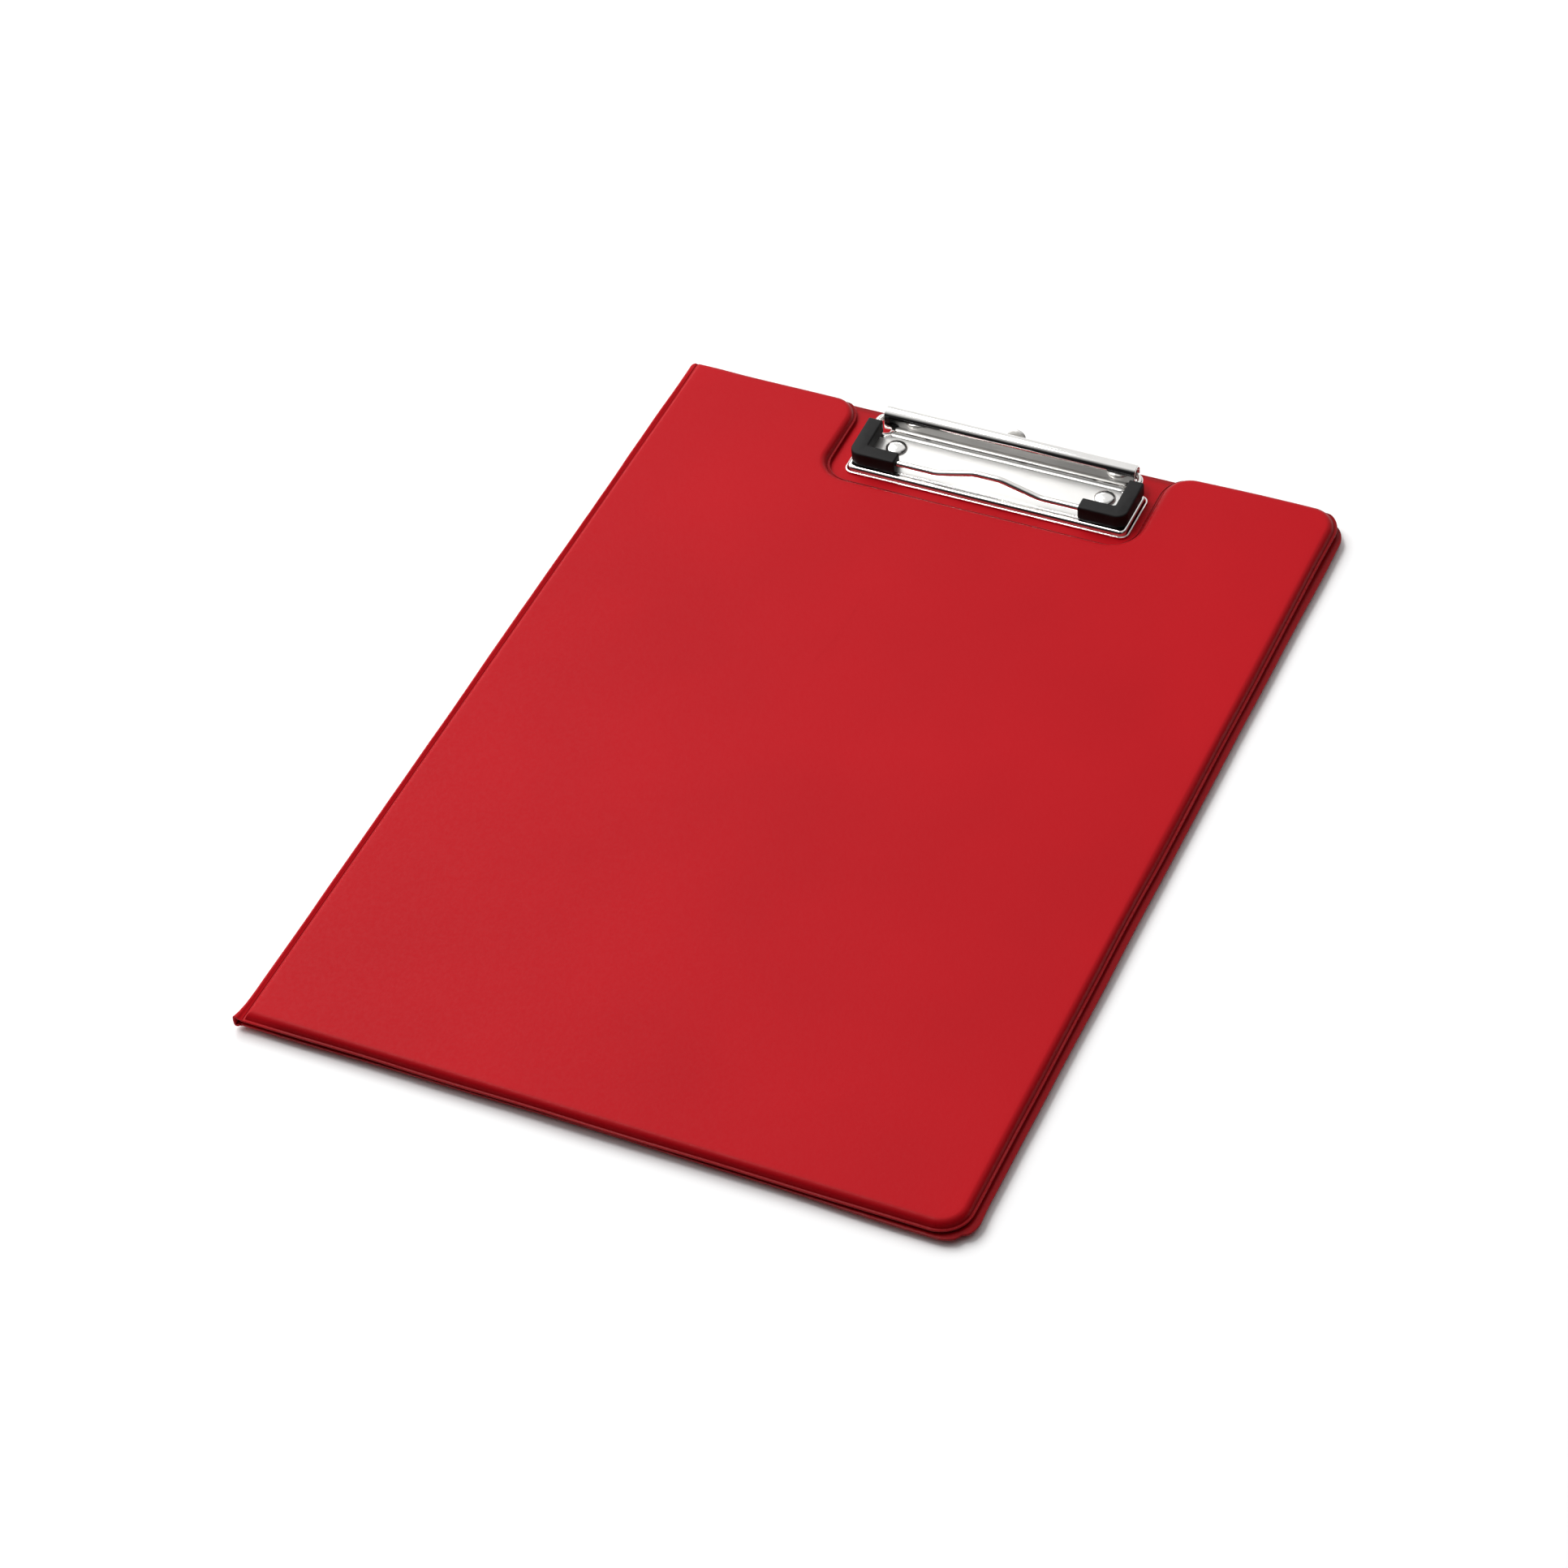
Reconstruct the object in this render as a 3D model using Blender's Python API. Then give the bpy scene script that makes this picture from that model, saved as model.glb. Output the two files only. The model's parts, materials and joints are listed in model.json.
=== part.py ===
"""A4 fold-over clipboard: two film-covered boards joined by a film spine, and a sprung wire clip.

Metres, +Z up. The origin is the centre of the closed clipboard's underside, on the outer film of
the back cover. +X runs from the spine to the free edge and +Y towards the clip.
"""

import math

import bmesh
import bpy
from mathutils import Matrix, Vector

MM = 0.001

# Covers. The back cover is a little larger than the front one.
BACK_WIDTH = 235.3 * MM
BACK_LENGTH = 319.5 * MM
FRONT_SHORTER_X = 2.0 * MM
FRONT_SHORTER_Y = 0.3 * MM
BOARD_THICKNESS = 2.0 * MM
FILM_THICKNESS = 0.35 * MM
POCKET_THICKNESS = 0.25 * MM
LAYER_GAP = 0.1 * MM
CLOSED_GAP = 0.15 * MM
FREE_CORNER_RADIUS = 10.0 * MM
SPINE_CORNER_RADIUS = 3.0 * MM
FLANGE_WIDTH = 1.0 * MM
EDGE_WIDTH = 4.0 * MM
DOME_STEPS = 4
DOME_POWER = 1.5

# Pocket inside the front cover. Its slanting mouth is placed along the cover's length.
POCKET_MARGIN = 8.0 * MM
POCKET_CORNER_RADIUS = 6.0 * MM
POCKET_LOW_MOUTH = 0.42
POCKET_HIGH_MOUTH = 0.62

# Spine. Each cover turns on its own fold line, and the web of the spine stands between the two.
SPINE_HALF_WIDTH = 0.4 * MM
SPINE_TO_COVER = 0.6 * MM
FOLD_TO_WEB = 0.9 * MM
SPINE_END_MARGIN = 4.0 * MM

# Notch in the front cover for the clip.
NOTCH_HALF_WIDTH = 55.9 * MM
NOTCH_DEPTH = 38.2 * MM
NOTCH_INNER_RADIUS = 9.0 * MM
NOTCH_MOUTH_RADIUS = 10.0 * MM

# Clip. The plate is as wide as a standard 100 mm board clip.
CLIP_X = 2.65 * MM
PLATE_FRONT_FROM_TOP = 33.0 * MM
PLATE_HALF_WIDTH = 50.1 * MM
PLATE_DEPTH = 22.6 * MM
PLATE_NECK_HALF_WIDTH = 43.6 * MM
PLATE_NECK_DEPTH = 7.7 * MM
PLATE_CORNER_RADIUS = 3.0 * MM
PLATE_NECK_RADIUS = 1.0 * MM
PLATE_HEIGHT = 2.2 * MM
PLATE_FLANGE_WIDTH = 0.9 * MM
PLATE_WALL_RUN = 0.5 * MM
RIM_BEVEL = 0.5 * MM
RIM_WIDTH = 1.1 * MM
PANEL_DROP = 0.2 * MM
PANEL_STEP_RUN = 0.3 * MM
PANEL_EDGE_WIDTH = 0.5 * MM
SHEET_THICKNESS = 0.6 * MM
TAB_RADIUS = 3.75 * MM
TAB_THICKNESS = 1.1 * MM
TAB_TOP_Z = 12.6 * MM
TAB_HOLE_RADIUS = 2.0 * MM
TAB_HOLE_Z = 8.2 * MM
TAB_FROM_REAR = 0.8 * MM
TAB_FOOT_SINK = 0.05 * MM
RIVET_HALF_SPACING = 37.0 * MM
RIVET_FROM_PLATE_FRONT = 15.5 * MM
RIVET_HEAD_RADIUS = 3.75 * MM
RIVET_HEAD_HEIGHT = 1.6 * MM
RIVET_SHANK_RADIUS = 1.8 * MM
RIVET_FLARE_RADIUS = 2.4 * MM
RIVET_TAIL_Z = 0.15 * MM
RIVET_FLARE_STEP = 0.05 * MM
RIVET_HOLE_RADIUS = 2.05 * MM
WASHER_RADIUS = 4.0 * MM
WASHER_THICKNESS = 0.5 * MM
WASHER_GAP = 0.1 * MM
WASHER_RECESS_RADIUS = 4.3 * MM
WASHER_RECESS_DEPTH = 1.1 * MM

# Lever and its hinge. Positions in the lever are measured from the hinge axis.
HINGE_FROM_PLATE_FRONT = 25.7 * MM
HINGE_HEIGHT = 8.7 * MM
LEVER_HALF_LENGTH = 44.5 * MM
HOOD_RADIUS = 2.75 * MM
HOOD_ARCH_RISE = 1.05 * MM
HOOD_FRONT_DROP = 3.1 * MM
HOOD_REAR_DROP = 0.6 * MM
HOOD_THICKNESS = 0.7 * MM
PIN_RADIUS = 1.0 * MM
PIN_HOLE_RADIUS = 1.1 * MM
PIN_HALF_LENGTH = 33.2 * MM
LUG_X = 30.0 * MM
LUG_THICKNESS = 0.9 * MM
LUG_RADIUS = 1.9 * MM
PIN_WEB_X = 31.6 * MM
WIRE_WEB_X = 41.0 * MM
WEB_THICKNESS = 0.8 * MM
WEB_DROP = 1.5 * MM
CUTTER_REACH = 1.0 * MM

# Wire bail and its rubber corners.
WIRE_RADIUS = 1.1 * MM
WIRE_HOLE_RADIUS = 1.2 * MM
WIRE_ARM_X = 46.3 * MM
WIRE_END_X = 38.0 * MM
WIRE_FRONT_FROM_PLATE_FRONT = 5.5 * MM
WIRE_FRONT_HEIGHT = 7.9 * MM
WIRE_CORNER_RADIUS = 3.6 * MM
WIRE_REAR_RADIUS = 3.0 * MM
WAVE_HEIGHT = 3.8 * MM
WAVE_FOOT_X = 18.0 * MM
WAVE_CREST_X = 4.6 * MM
WAVE_RADIUS = 12.0 * MM
RUBBER_SIDE = 5.1 * MM
RUBBER_EDGE_RADIUS = 0.8 * MM
RUBBER_BORE_RADIUS = 1.25 * MM
RUBBER_ARM_LENGTH = 15.3 * MM
RUBBER_FRONT_LENGTH = 13.9 * MM

# Torsion springs round the hinge pin.
SPRING_WIRE_RADIUS = 0.25 * MM
SPRING_COIL_RADIUS = 1.5 * MM
SPRING_PITCH = 0.9 * MM
SPRING_TURNS = 5
SPRING_INNER_X = 20.0 * MM
SPRING_LOWER_LEG = 2.9 * MM
SPRING_UPPER_LEG = 1.4 * MM

# Facets.
CORNER_STEPS = 6
ARCH_STEPS = 12
RIVET_DOME_STEPS = 6
TURNED_STEPS = 24
COIL_STEPS = 12
WIRE_SIDES = 12
SPRING_SIDES = 6
RUBBER_EDGE_STEPS = 3
SMALLEST_RADIUS = 0.4 * MM

# Levels of the layers, from the underside up.
BACK_OUTER_Z = 0.0
BACK_BOARD_Z = FILM_THICKNESS + LAYER_GAP
BACK_INNER_Z = BACK_BOARD_Z + BOARD_THICKNESS + LAYER_GAP
BACK_TOP_Z = BACK_INNER_Z + FILM_THICKNESS
POCKET_Z = BACK_TOP_Z + CLOSED_GAP
FRONT_INNER_Z = POCKET_Z + POCKET_THICKNESS + LAYER_GAP
FRONT_BOARD_Z = FRONT_INNER_Z + FILM_THICKNESS + LAYER_GAP
FRONT_OUTER_Z = FRONT_BOARD_Z + BOARD_THICKNESS + LAYER_GAP
FRONT_TOP_Z = FRONT_OUTER_Z + FILM_THICKNESS

# Fold lines of the spine, at the mid-thickness of each cover.
FOLD_X = -BACK_WIDTH / 2 + SPINE_HALF_WIDTH
BACK_FOLD_Z = BACK_TOP_Z / 2
FRONT_FOLD_Z = FRONT_INNER_Z + BACK_TOP_Z / 2
SPINE_FOLD = Vector((FOLD_X, 0.0, BACK_FOLD_Z))
COVER_FOLD = Vector((FOLD_X, 0.0, FRONT_FOLD_Z))

# Outer limits of the covers.
LEFT = FOLD_X + SPINE_TO_COVER
RIGHT = BACK_WIDTH / 2
BOTTOM = -BACK_LENGTH / 2
TOP = BACK_LENGTH / 2
FRONT_RIGHT = RIGHT - FRONT_SHORTER_X
FRONT_TOP = TOP - FRONT_SHORTER_Y

# Clip levels and places.
PLATE_Z = BACK_TOP_Z + LAYER_GAP
PLATE_TOP_Z = PLATE_Z + PLATE_HEIGHT
PANEL_Z = PLATE_TOP_Z - PANEL_DROP
PLATE_FRONT = TOP - PLATE_FRONT_FROM_TOP
RIVET_Y = PLATE_FRONT + RIVET_FROM_PLATE_FRONT
WIRE_FRONT_Y = PLATE_FRONT + WIRE_FRONT_FROM_PLATE_FRONT
HINGE = Vector((CLIP_X, PLATE_FRONT + HINGE_FROM_PLATE_FRONT, HINGE_HEIGHT))


# ---------------------------------------------------------------- materials and objects


def clear_scene():
    for obj in list(bpy.data.objects):
        bpy.data.objects.remove(obj, do_unlink=True)


def make_material(name, color, roughness, metallic=0.0):
    material = bpy.data.materials.new(name)
    material.use_nodes = True
    shader = material.node_tree.nodes["Principled BSDF"]
    shader.inputs["Base Color"].default_value = (*color, 1.0)
    shader.inputs["Roughness"].default_value = roughness
    shader.inputs["Metallic"].default_value = metallic
    return material


def make_materials():
    red = (0.53, 0.015, 0.024)
    nickel = (0.78, 0.77, 0.75)
    return {
        "outer_film": make_material("outer_film", red, 0.45),
        "inner_film": make_material("inner_film", red, 0.5),
        "greyboard": make_material("greyboard", (0.30, 0.28, 0.25), 0.9),
        "nickel": make_material("nickel", nickel, 0.12, 1.0),
        "spring_steel": make_material("spring_steel", (0.55, 0.55, 0.56), 0.25, 1.0),
        "rubber": make_material("rubber", (0.02, 0.02, 0.021), 0.55),
    }


def add_object(name, mesh_builder, material=None):
    mesh = bpy.data.meshes.new(name)
    mesh_builder.to_mesh(mesh)
    mesh_builder.free()
    obj = bpy.data.objects.new(name, mesh)
    bpy.context.scene.collection.objects.link(obj)
    if material:
        mesh.materials.append(material)
    return obj


def smooth(obj, degrees=35):
    obj.data.shade_smooth()
    obj.data.set_sharp_from_angle(angle=math.radians(degrees))


def add_axis(name, position, parent=None):
    """An empty on a joint's axis, which carries the pieces that turn about it."""
    axis = bpy.data.objects.new(name, None)
    bpy.context.scene.collection.objects.link(axis)
    axis.location = position
    if parent:
        axis.parent = parent
        axis.location = position - parent.location
    return axis


def hang_on_axis(objects, axis, pivot):
    """Moves each mesh's origin to the pivot and parents the object there, leaving it in place."""
    for obj in objects:
        obj.data.transform(Matrix.Translation(-pivot))
        obj.parent = axis


def helper(obj):
    obj.hide_render = True
    obj.display_type = "WIRE"
    return obj


def combine(obj, other, operation):
    """Joins or cuts obj with a helper shape, keeping the exact solver."""
    modifier = obj.modifiers.new(other.name, "BOOLEAN")
    modifier.operation = operation
    modifier.object = helper(other)


# ---------------------------------------------------------------- outlines and paths


def rounded_outline(corners, inset=0.0):
    """Counter-clockwise points of a polygon of (x, y, radius) corners, moved inwards by inset."""
    points = []
    for index, (x, y, radius) in enumerate(corners):
        here = Vector((x, y))
        before = Vector(corners[index - 1][:2])
        after = Vector(corners[(index + 1) % len(corners)][:2])
        arriving = (here - before).normalized()
        leaving = (after - here).normalized()
        inward_arriving = Vector((-arriving.y, arriving.x))
        inward_leaving = Vector((-leaving.y, leaving.x))
        corner = here + (inward_arriving + inward_leaving) * inset / (1 + arriving.dot(leaving))
        turn = math.atan2(arriving.cross(leaving), arriving.dot(leaving))
        side = math.copysign(1.0, turn)
        moved_radius = max(radius - side * inset, SMALLEST_RADIUS)
        tangent = moved_radius * math.tan(abs(turn) / 2)
        centre = corner - arriving * tangent + inward_arriving * moved_radius * side
        start = -inward_arriving * moved_radius * side
        for step in range(CORNER_STEPS + 1):
            points.append(centre + Matrix.Rotation(turn * step / CORNER_STEPS, 2) @ start)
    return points


def circle(radius, steps, phase=0.0):
    angles = [phase + math.tau * step / steps for step in range(steps)]
    return [Vector((radius * math.cos(angle), radius * math.sin(angle))) for angle in angles]


def rounded_path(corners):
    """Points along an open path of (point, radius) corners, with each bend rounded."""
    points = [corners[0][0]]
    for (before, _), (here, radius), (after, _) in zip(corners, corners[1:], corners[2:]):
        arriving = (here - before).normalized()
        leaving = (after - here).normalized()
        turn = arriving.angle(leaving)
        tangent = radius * math.tan(turn / 2)
        centre = here + (leaving - arriving).normalized() * radius / math.cos(turn / 2)
        start = here - arriving * tangent - centre
        axis = arriving.cross(leaving)
        for step in range(CORNER_STEPS + 1):
            points.append(centre + Matrix.Rotation(turn * step / CORNER_STEPS, 3, axis) @ start)
    points.append(corners[-1][0])
    return points


# ---------------------------------------------------------------- solids


def loft(name, loops, material=None, ring=False):
    """A closed solid through loops of equally many points. A ring closes on its first loop."""
    builder = bmesh.new()
    rows = [[builder.verts.new(point) for point in loop] for loop in loops]
    pairs = list(zip(rows, rows[1:]))
    if ring:
        pairs.append((rows[-1], rows[0]))
    else:
        builder.faces.new(list(reversed(rows[0])))
        builder.faces.new(rows[-1])
    for first, second in pairs:
        for index in range(len(first)):
            following = (index + 1) % len(first)
            builder.faces.new((first[index], first[following], second[following], second[index]))
    bmesh.ops.recalc_face_normals(builder, faces=builder.faces)
    return add_object(name, builder, material)


def layered(name, corners, section, material=None):
    """A solid from one outline at a run of (inset, z) levels."""
    loops = []
    for inset, z in section:
        loops.append([Vector((*point, z)) for point in rounded_outline(corners, inset)])
    return loft(name, loops, material)


def turned(name, centre, profile, material=None, ring=False):
    """A solid of revolution about +Z through centre, from (radius, z) pairs."""
    loops = []
    for radius, z in profile:
        loops.append([centre + Vector((*point, z)) for point in circle(radius, TURNED_STEPS)])
    obj = loft(name, loops, material, ring)
    smooth(obj)
    return obj


def rod(name, start, length, radius, material=None):
    """A round rod along +X."""
    loops = [
        [start + Vector((x, point.x, point.y)) for point in circle(radius, TURNED_STEPS)]
        for x in (0.0, length)
    ]
    obj = loft(name, loops, material)
    smooth(obj)
    return obj


def extruded_along_x(name, profile, start, length, material=None):
    """A (y, z) profile extruded along +X from the point start."""
    loops = [[start + Vector((x, y, z)) for y, z in profile] for x in (0.0, length)]
    return loft(name, loops, material)


def block(name, low, high):
    builder = bmesh.new()
    bmesh.ops.create_cube(builder, size=1.0)
    size = high - low
    bmesh.ops.transform(
        builder,
        matrix=Matrix.Translation((low + high) / 2) @ Matrix.Diagonal((*size, 1.0)),
        verts=builder.verts,
    )
    return add_object(name, builder)


def path_frames(points, up):
    """(point, sideways, upwards) at each point of a path, with upwards kept near up."""
    steps = [(after - before).normalized() for before, after in zip(points, points[1:])]
    frames = []
    for point, arriving, leaving in zip(points, steps[:1] + steps, steps + steps[-1:]):
        tangent = (arriving + leaving).normalized()
        sideways = tangent.cross(up).normalized()
        frames.append((point, sideways, sideways.cross(tangent)))
    return frames


def swept_loops(points, section, up):
    return [
        [point + sideways * offset.x + upwards * offset.y for offset in section]
        for point, sideways, upwards in path_frames(points, up)
    ]


def swept(name, points, section, up, material):
    obj = loft(name, swept_loops(points, section, up), material)
    smooth(obj)
    return obj


# ---------------------------------------------------------------- covers


def back_corners():
    return [
        (LEFT, BOTTOM, SPINE_CORNER_RADIUS),
        (RIGHT, BOTTOM, FREE_CORNER_RADIUS),
        (RIGHT, TOP, FREE_CORNER_RADIUS),
        (LEFT, TOP, SPINE_CORNER_RADIUS),
    ]


def front_corners():
    notch_floor = FRONT_TOP - NOTCH_DEPTH
    notch_left = CLIP_X - NOTCH_HALF_WIDTH
    notch_right = CLIP_X + NOTCH_HALF_WIDTH
    return [
        (LEFT, BOTTOM, SPINE_CORNER_RADIUS),
        (FRONT_RIGHT, BOTTOM, FREE_CORNER_RADIUS),
        (FRONT_RIGHT, FRONT_TOP, FREE_CORNER_RADIUS),
        (notch_right, FRONT_TOP, NOTCH_MOUTH_RADIUS),
        (notch_right, notch_floor, NOTCH_INNER_RADIUS),
        (notch_left, notch_floor, NOTCH_INNER_RADIUS),
        (notch_left, FRONT_TOP, NOTCH_MOUTH_RADIUS),
        (LEFT, FRONT_TOP, SPINE_CORNER_RADIUS),
    ]


def skin_section(flange_z, crown_z):
    """(inset, z) levels of a film that runs from a flat weld flange over the board's edge.

    crown_z is the level of the film's outside over the board, and flange_z that of its outside at
    the flange. The first half is the outside, from the middle out, and the second the inside.
    """
    towards_board = math.copysign(FILM_THICKNESS, flange_z - crown_z)
    rise = crown_z - flange_z
    run = EDGE_WIDTH - FLANGE_WIDTH
    outside = []
    for step in range(DOME_STEPS, -1, -1):
        fraction = step / DOME_STEPS
        height = math.sin(fraction * math.pi / 2) ** DOME_POWER
        outside.append((FLANGE_WIDTH + run * fraction, flange_z + rise * height))
    outside.append((0.0, flange_z))
    inside = [(0.0, flange_z + towards_board)]
    for inset, z in reversed(outside[:-1]):
        inside.append((inset + FILM_THICKNESS / 3, z + towards_board))
    return outside + inside


def build_covers(materials):
    board_inset = EDGE_WIDTH + 2 * FILM_THICKNESS
    back_flange_z = BACK_INNER_Z - LAYER_GAP - FILM_THICKNESS
    front_flange_z = FRONT_BOARD_Z + FILM_THICKNESS

    def flat(inset, z, thickness):
        return [(inset, z), (inset, z + thickness)]

    back = back_corners()
    front = front_corners()
    layers = (
        ("back_outer_skin", back, skin_section(back_flange_z, BACK_OUTER_Z), "outer_film"),
        ("back_stiffener", back, flat(board_inset, BACK_BOARD_Z, BOARD_THICKNESS), "greyboard"),
        ("back_inner_skin", back, flat(0.0, BACK_INNER_Z, FILM_THICKNESS), "inner_film"),
        ("front_inner_skin", front, flat(0.0, FRONT_INNER_Z, FILM_THICKNESS), "inner_film"),
        ("front_stiffener", front, flat(board_inset, FRONT_BOARD_Z, BOARD_THICKNESS), "greyboard"),
        ("front_outer_skin", front, skin_section(front_flange_z, FRONT_TOP_Z), "outer_film"),
    )
    objects = {}
    for name, corners, section, slot in layers:
        objects[name] = layered(name, corners, section, materials[slot])
    objects["front_pocket"] = build_pocket(materials["inner_film"])
    return objects


def build_pocket(material):
    """A film pocket on the inside of the front cover, with a slanting mouth."""
    near = LEFT + POCKET_MARGIN
    far = FRONT_RIGHT - POCKET_MARGIN
    low = BOTTOM + POCKET_MARGIN
    corners = [
        (near, low, POCKET_CORNER_RADIUS),
        (far, low, POCKET_CORNER_RADIUS),
        (far, BOTTOM + BACK_LENGTH * POCKET_LOW_MOUTH, POCKET_CORNER_RADIUS),
        (near, BOTTOM + BACK_LENGTH * POCKET_HIGH_MOUTH, POCKET_CORNER_RADIUS),
    ]
    levels = [(0.0, POCKET_Z), (0.0, POCKET_Z + POCKET_THICKNESS)]
    return layered("front_pocket", corners, levels, material)


def build_spine(materials):
    """The two films of the spine's web, between the fold lines."""
    half_gap = LAYER_GAP / 2
    low_z = BACK_FOLD_Z + FOLD_TO_WEB
    high_z = FRONT_FOLD_Z - FOLD_TO_WEB
    low_y = BOTTOM + SPINE_END_MARGIN
    high_y = FRONT_TOP - SPINE_END_MARGIN
    films = {}
    for name, near, far in (
        ("spine_outer_film", -SPINE_HALF_WIDTH, -half_gap),
        ("spine_inner_film", half_gap, SPINE_HALF_WIDTH),
    ):
        low = Vector((FOLD_X + near, low_y, low_z))
        high = Vector((FOLD_X + far, high_y, high_z))
        films[name] = block(name, low, high)
        films[name].data.materials.append(materials["outer_film"])
    return films


# ---------------------------------------------------------------- clip, fixed pieces


def plate_corners():
    near = CLIP_X - PLATE_HALF_WIDTH
    far = CLIP_X + PLATE_HALF_WIDTH
    neck_near = CLIP_X - PLATE_NECK_HALF_WIDTH
    neck_far = CLIP_X + PLATE_NECK_HALF_WIDTH
    shoulder = PLATE_FRONT + PLATE_DEPTH
    rear = shoulder + PLATE_NECK_DEPTH
    return [
        (near, PLATE_FRONT, PLATE_CORNER_RADIUS),
        (far, PLATE_FRONT, PLATE_CORNER_RADIUS),
        (far, shoulder, PLATE_CORNER_RADIUS),
        (neck_far, shoulder, PLATE_NECK_RADIUS),
        (neck_far, rear, PLATE_NECK_RADIUS),
        (neck_near, rear, PLATE_NECK_RADIUS),
        (neck_near, shoulder, PLATE_NECK_RADIUS),
        (near, shoulder, PLATE_CORNER_RADIUS),
    ]


def plate_section():
    """(inset, z) levels of the stamped plate: flange, wall, rounded rim, groove and panel."""
    sheet = SHEET_THICKNESS
    flange_top = PLATE_Z + sheet
    wall_top = PLATE_FLANGE_WIDTH + PLATE_WALL_RUN
    rim_start = wall_top + RIM_BEVEL
    rim_end = rim_start + RIM_WIDTH
    panel_start = rim_end + PANEL_STEP_RUN
    panel_inside = panel_start + PANEL_EDGE_WIDTH
    outside = [
        (panel_inside, PANEL_Z),
        (panel_start, PANEL_Z),
        (rim_end, PLATE_TOP_Z),
        (rim_start, PLATE_TOP_Z),
        (wall_top, PLATE_TOP_Z - 0.8 * RIM_BEVEL),
        (wall_top - 0.4 * PLATE_WALL_RUN, flange_top + 0.4 * RIM_BEVEL),
        (PLATE_FLANGE_WIDTH, flange_top),
        (0.0, flange_top),
    ]
    inside = [
        (0.0, PLATE_Z),
        (PLATE_FLANGE_WIDTH + sheet, PLATE_Z),
        (wall_top + sheet, PLATE_TOP_Z - sheet - 0.4 * RIM_BEVEL),
        (panel_inside, PANEL_Z - sheet),
    ]
    return outside + inside


def arch(centre, radius):
    """Points of a half circle over the centre, from its right end round to its left."""
    points = []
    for step in range(ARCH_STEPS + 1):
        angle = math.pi * step / ARCH_STEPS
        points.append((centre[0] + radius * math.cos(angle), centre[1] + radius * math.sin(angle)))
    return points


def lug_profile():
    """(y, z) outline, from the hinge axis, of a lug that rises from the plate round the pin."""
    foot = PANEL_Z - SHEET_THICKNESS / 2 - HINGE.z
    return [(LUG_RADIUS, foot)] + arch((0.0, 0.0), LUG_RADIUS) + [(-LUG_RADIUS, foot)]


def hanging_tab(front_y):
    """An upright tab with a round top, at the middle of the plate's rear edge."""
    foot_z = PLATE_Z + TAB_FOOT_SINK
    outline = [(CLIP_X - TAB_RADIUS, foot_z), (CLIP_X + TAB_RADIUS, foot_z)]
    outline += arch((CLIP_X, TAB_TOP_Z - TAB_RADIUS), TAB_RADIUS)
    loops = [[Vector((x, y, z)) for x, z in outline] for y in (front_y, front_y + TAB_THICKNESS)]
    return loft("hanging_tab_shape", loops)


def tab_hole_cutter(front_y):
    start = Vector((CLIP_X, front_y - CUTTER_REACH, TAB_HOLE_Z))
    outline = circle(TAB_HOLE_RADIUS, TURNED_STEPS)
    loops = []
    for y in (0.0, TAB_THICKNESS + 2 * CUTTER_REACH):
        loops.append([start + Vector((point.x, y, point.y)) for point in outline])
    return loft("tab_hole_cutter", loops)


def build_base_plate(material):
    plate = layered("clip_base_plate", plate_corners(), plate_section(), material)
    tab_y = PLATE_FRONT + PLATE_DEPTH + PLATE_NECK_DEPTH - TAB_FROM_REAR
    combine(plate, hanging_tab(tab_y), "UNION")
    for side in (-1, 1):
        start = HINGE + Vector((side * LUG_X - LUG_THICKNESS / 2, 0, 0))
        lug = extruded_along_x(f"lug_shape_{side}", lug_profile(), start, LUG_THICKNESS)
        combine(plate, lug, "UNION")
    pin_start = HINGE - Vector((PIN_HALF_LENGTH, 0, 0))
    pin_hole = rod("lug_pin_cutter", pin_start, 2 * PIN_HALF_LENGTH, PIN_HOLE_RADIUS)
    combine(plate, pin_hole, "DIFFERENCE")
    combine(plate, tab_hole_cutter(tab_y), "DIFFERENCE")
    return plate


def rivet_centres():
    return {
        "left": Vector((CLIP_X - RIVET_HALF_SPACING, RIVET_Y, 0.0)),
        "right": Vector((CLIP_X + RIVET_HALF_SPACING, RIVET_Y, 0.0)),
    }


def cut_rivet_holes(objects):
    """Holes for the shanks in every layer, and a recess for the washers from the underside."""
    shank_profile = [(RIVET_HOLE_RADIUS, -CUTTER_REACH), (RIVET_HOLE_RADIUS, HINGE_HEIGHT)]
    recess_profile = [(WASHER_RECESS_RADIUS, -CUTTER_REACH), (WASHER_RECESS_RADIUS, WASHER_RECESS_DEPTH)]
    for side, centre in rivet_centres().items():
        shank = turned(f"shank_cutter_{side}", centre, shank_profile)
        recess = turned(f"recess_cutter_{side}", centre, recess_profile)
        for name in ("back_outer_skin", "back_stiffener"):
            combine(objects[name], recess, "DIFFERENCE")
        for name in ("back_stiffener", "back_inner_skin", "clip_base_plate"):
            combine(objects[name], shank, "DIFFERENCE")


def rivet_profile(washer_z):
    """(radius, z) outline of a rivet, from its flared tail up to its domed head."""
    head_z = PANEL_Z + LAYER_GAP
    profile = [
        (RIVET_FLARE_RADIUS, RIVET_TAIL_Z),
        (RIVET_FLARE_RADIUS, washer_z - WASHER_GAP - RIVET_FLARE_STEP),
        (RIVET_SHANK_RADIUS, washer_z - WASHER_GAP),
        (RIVET_SHANK_RADIUS, head_z),
        (RIVET_HEAD_RADIUS, head_z),
    ]
    for step in range(1, RIVET_DOME_STEPS):
        angle = math.pi / 2 * step / RIVET_DOME_STEPS
        radius = RIVET_HEAD_RADIUS * math.cos(angle)
        profile.append((radius, head_z + RIVET_HEAD_HEIGHT * math.sin(angle)))
    return profile


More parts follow.
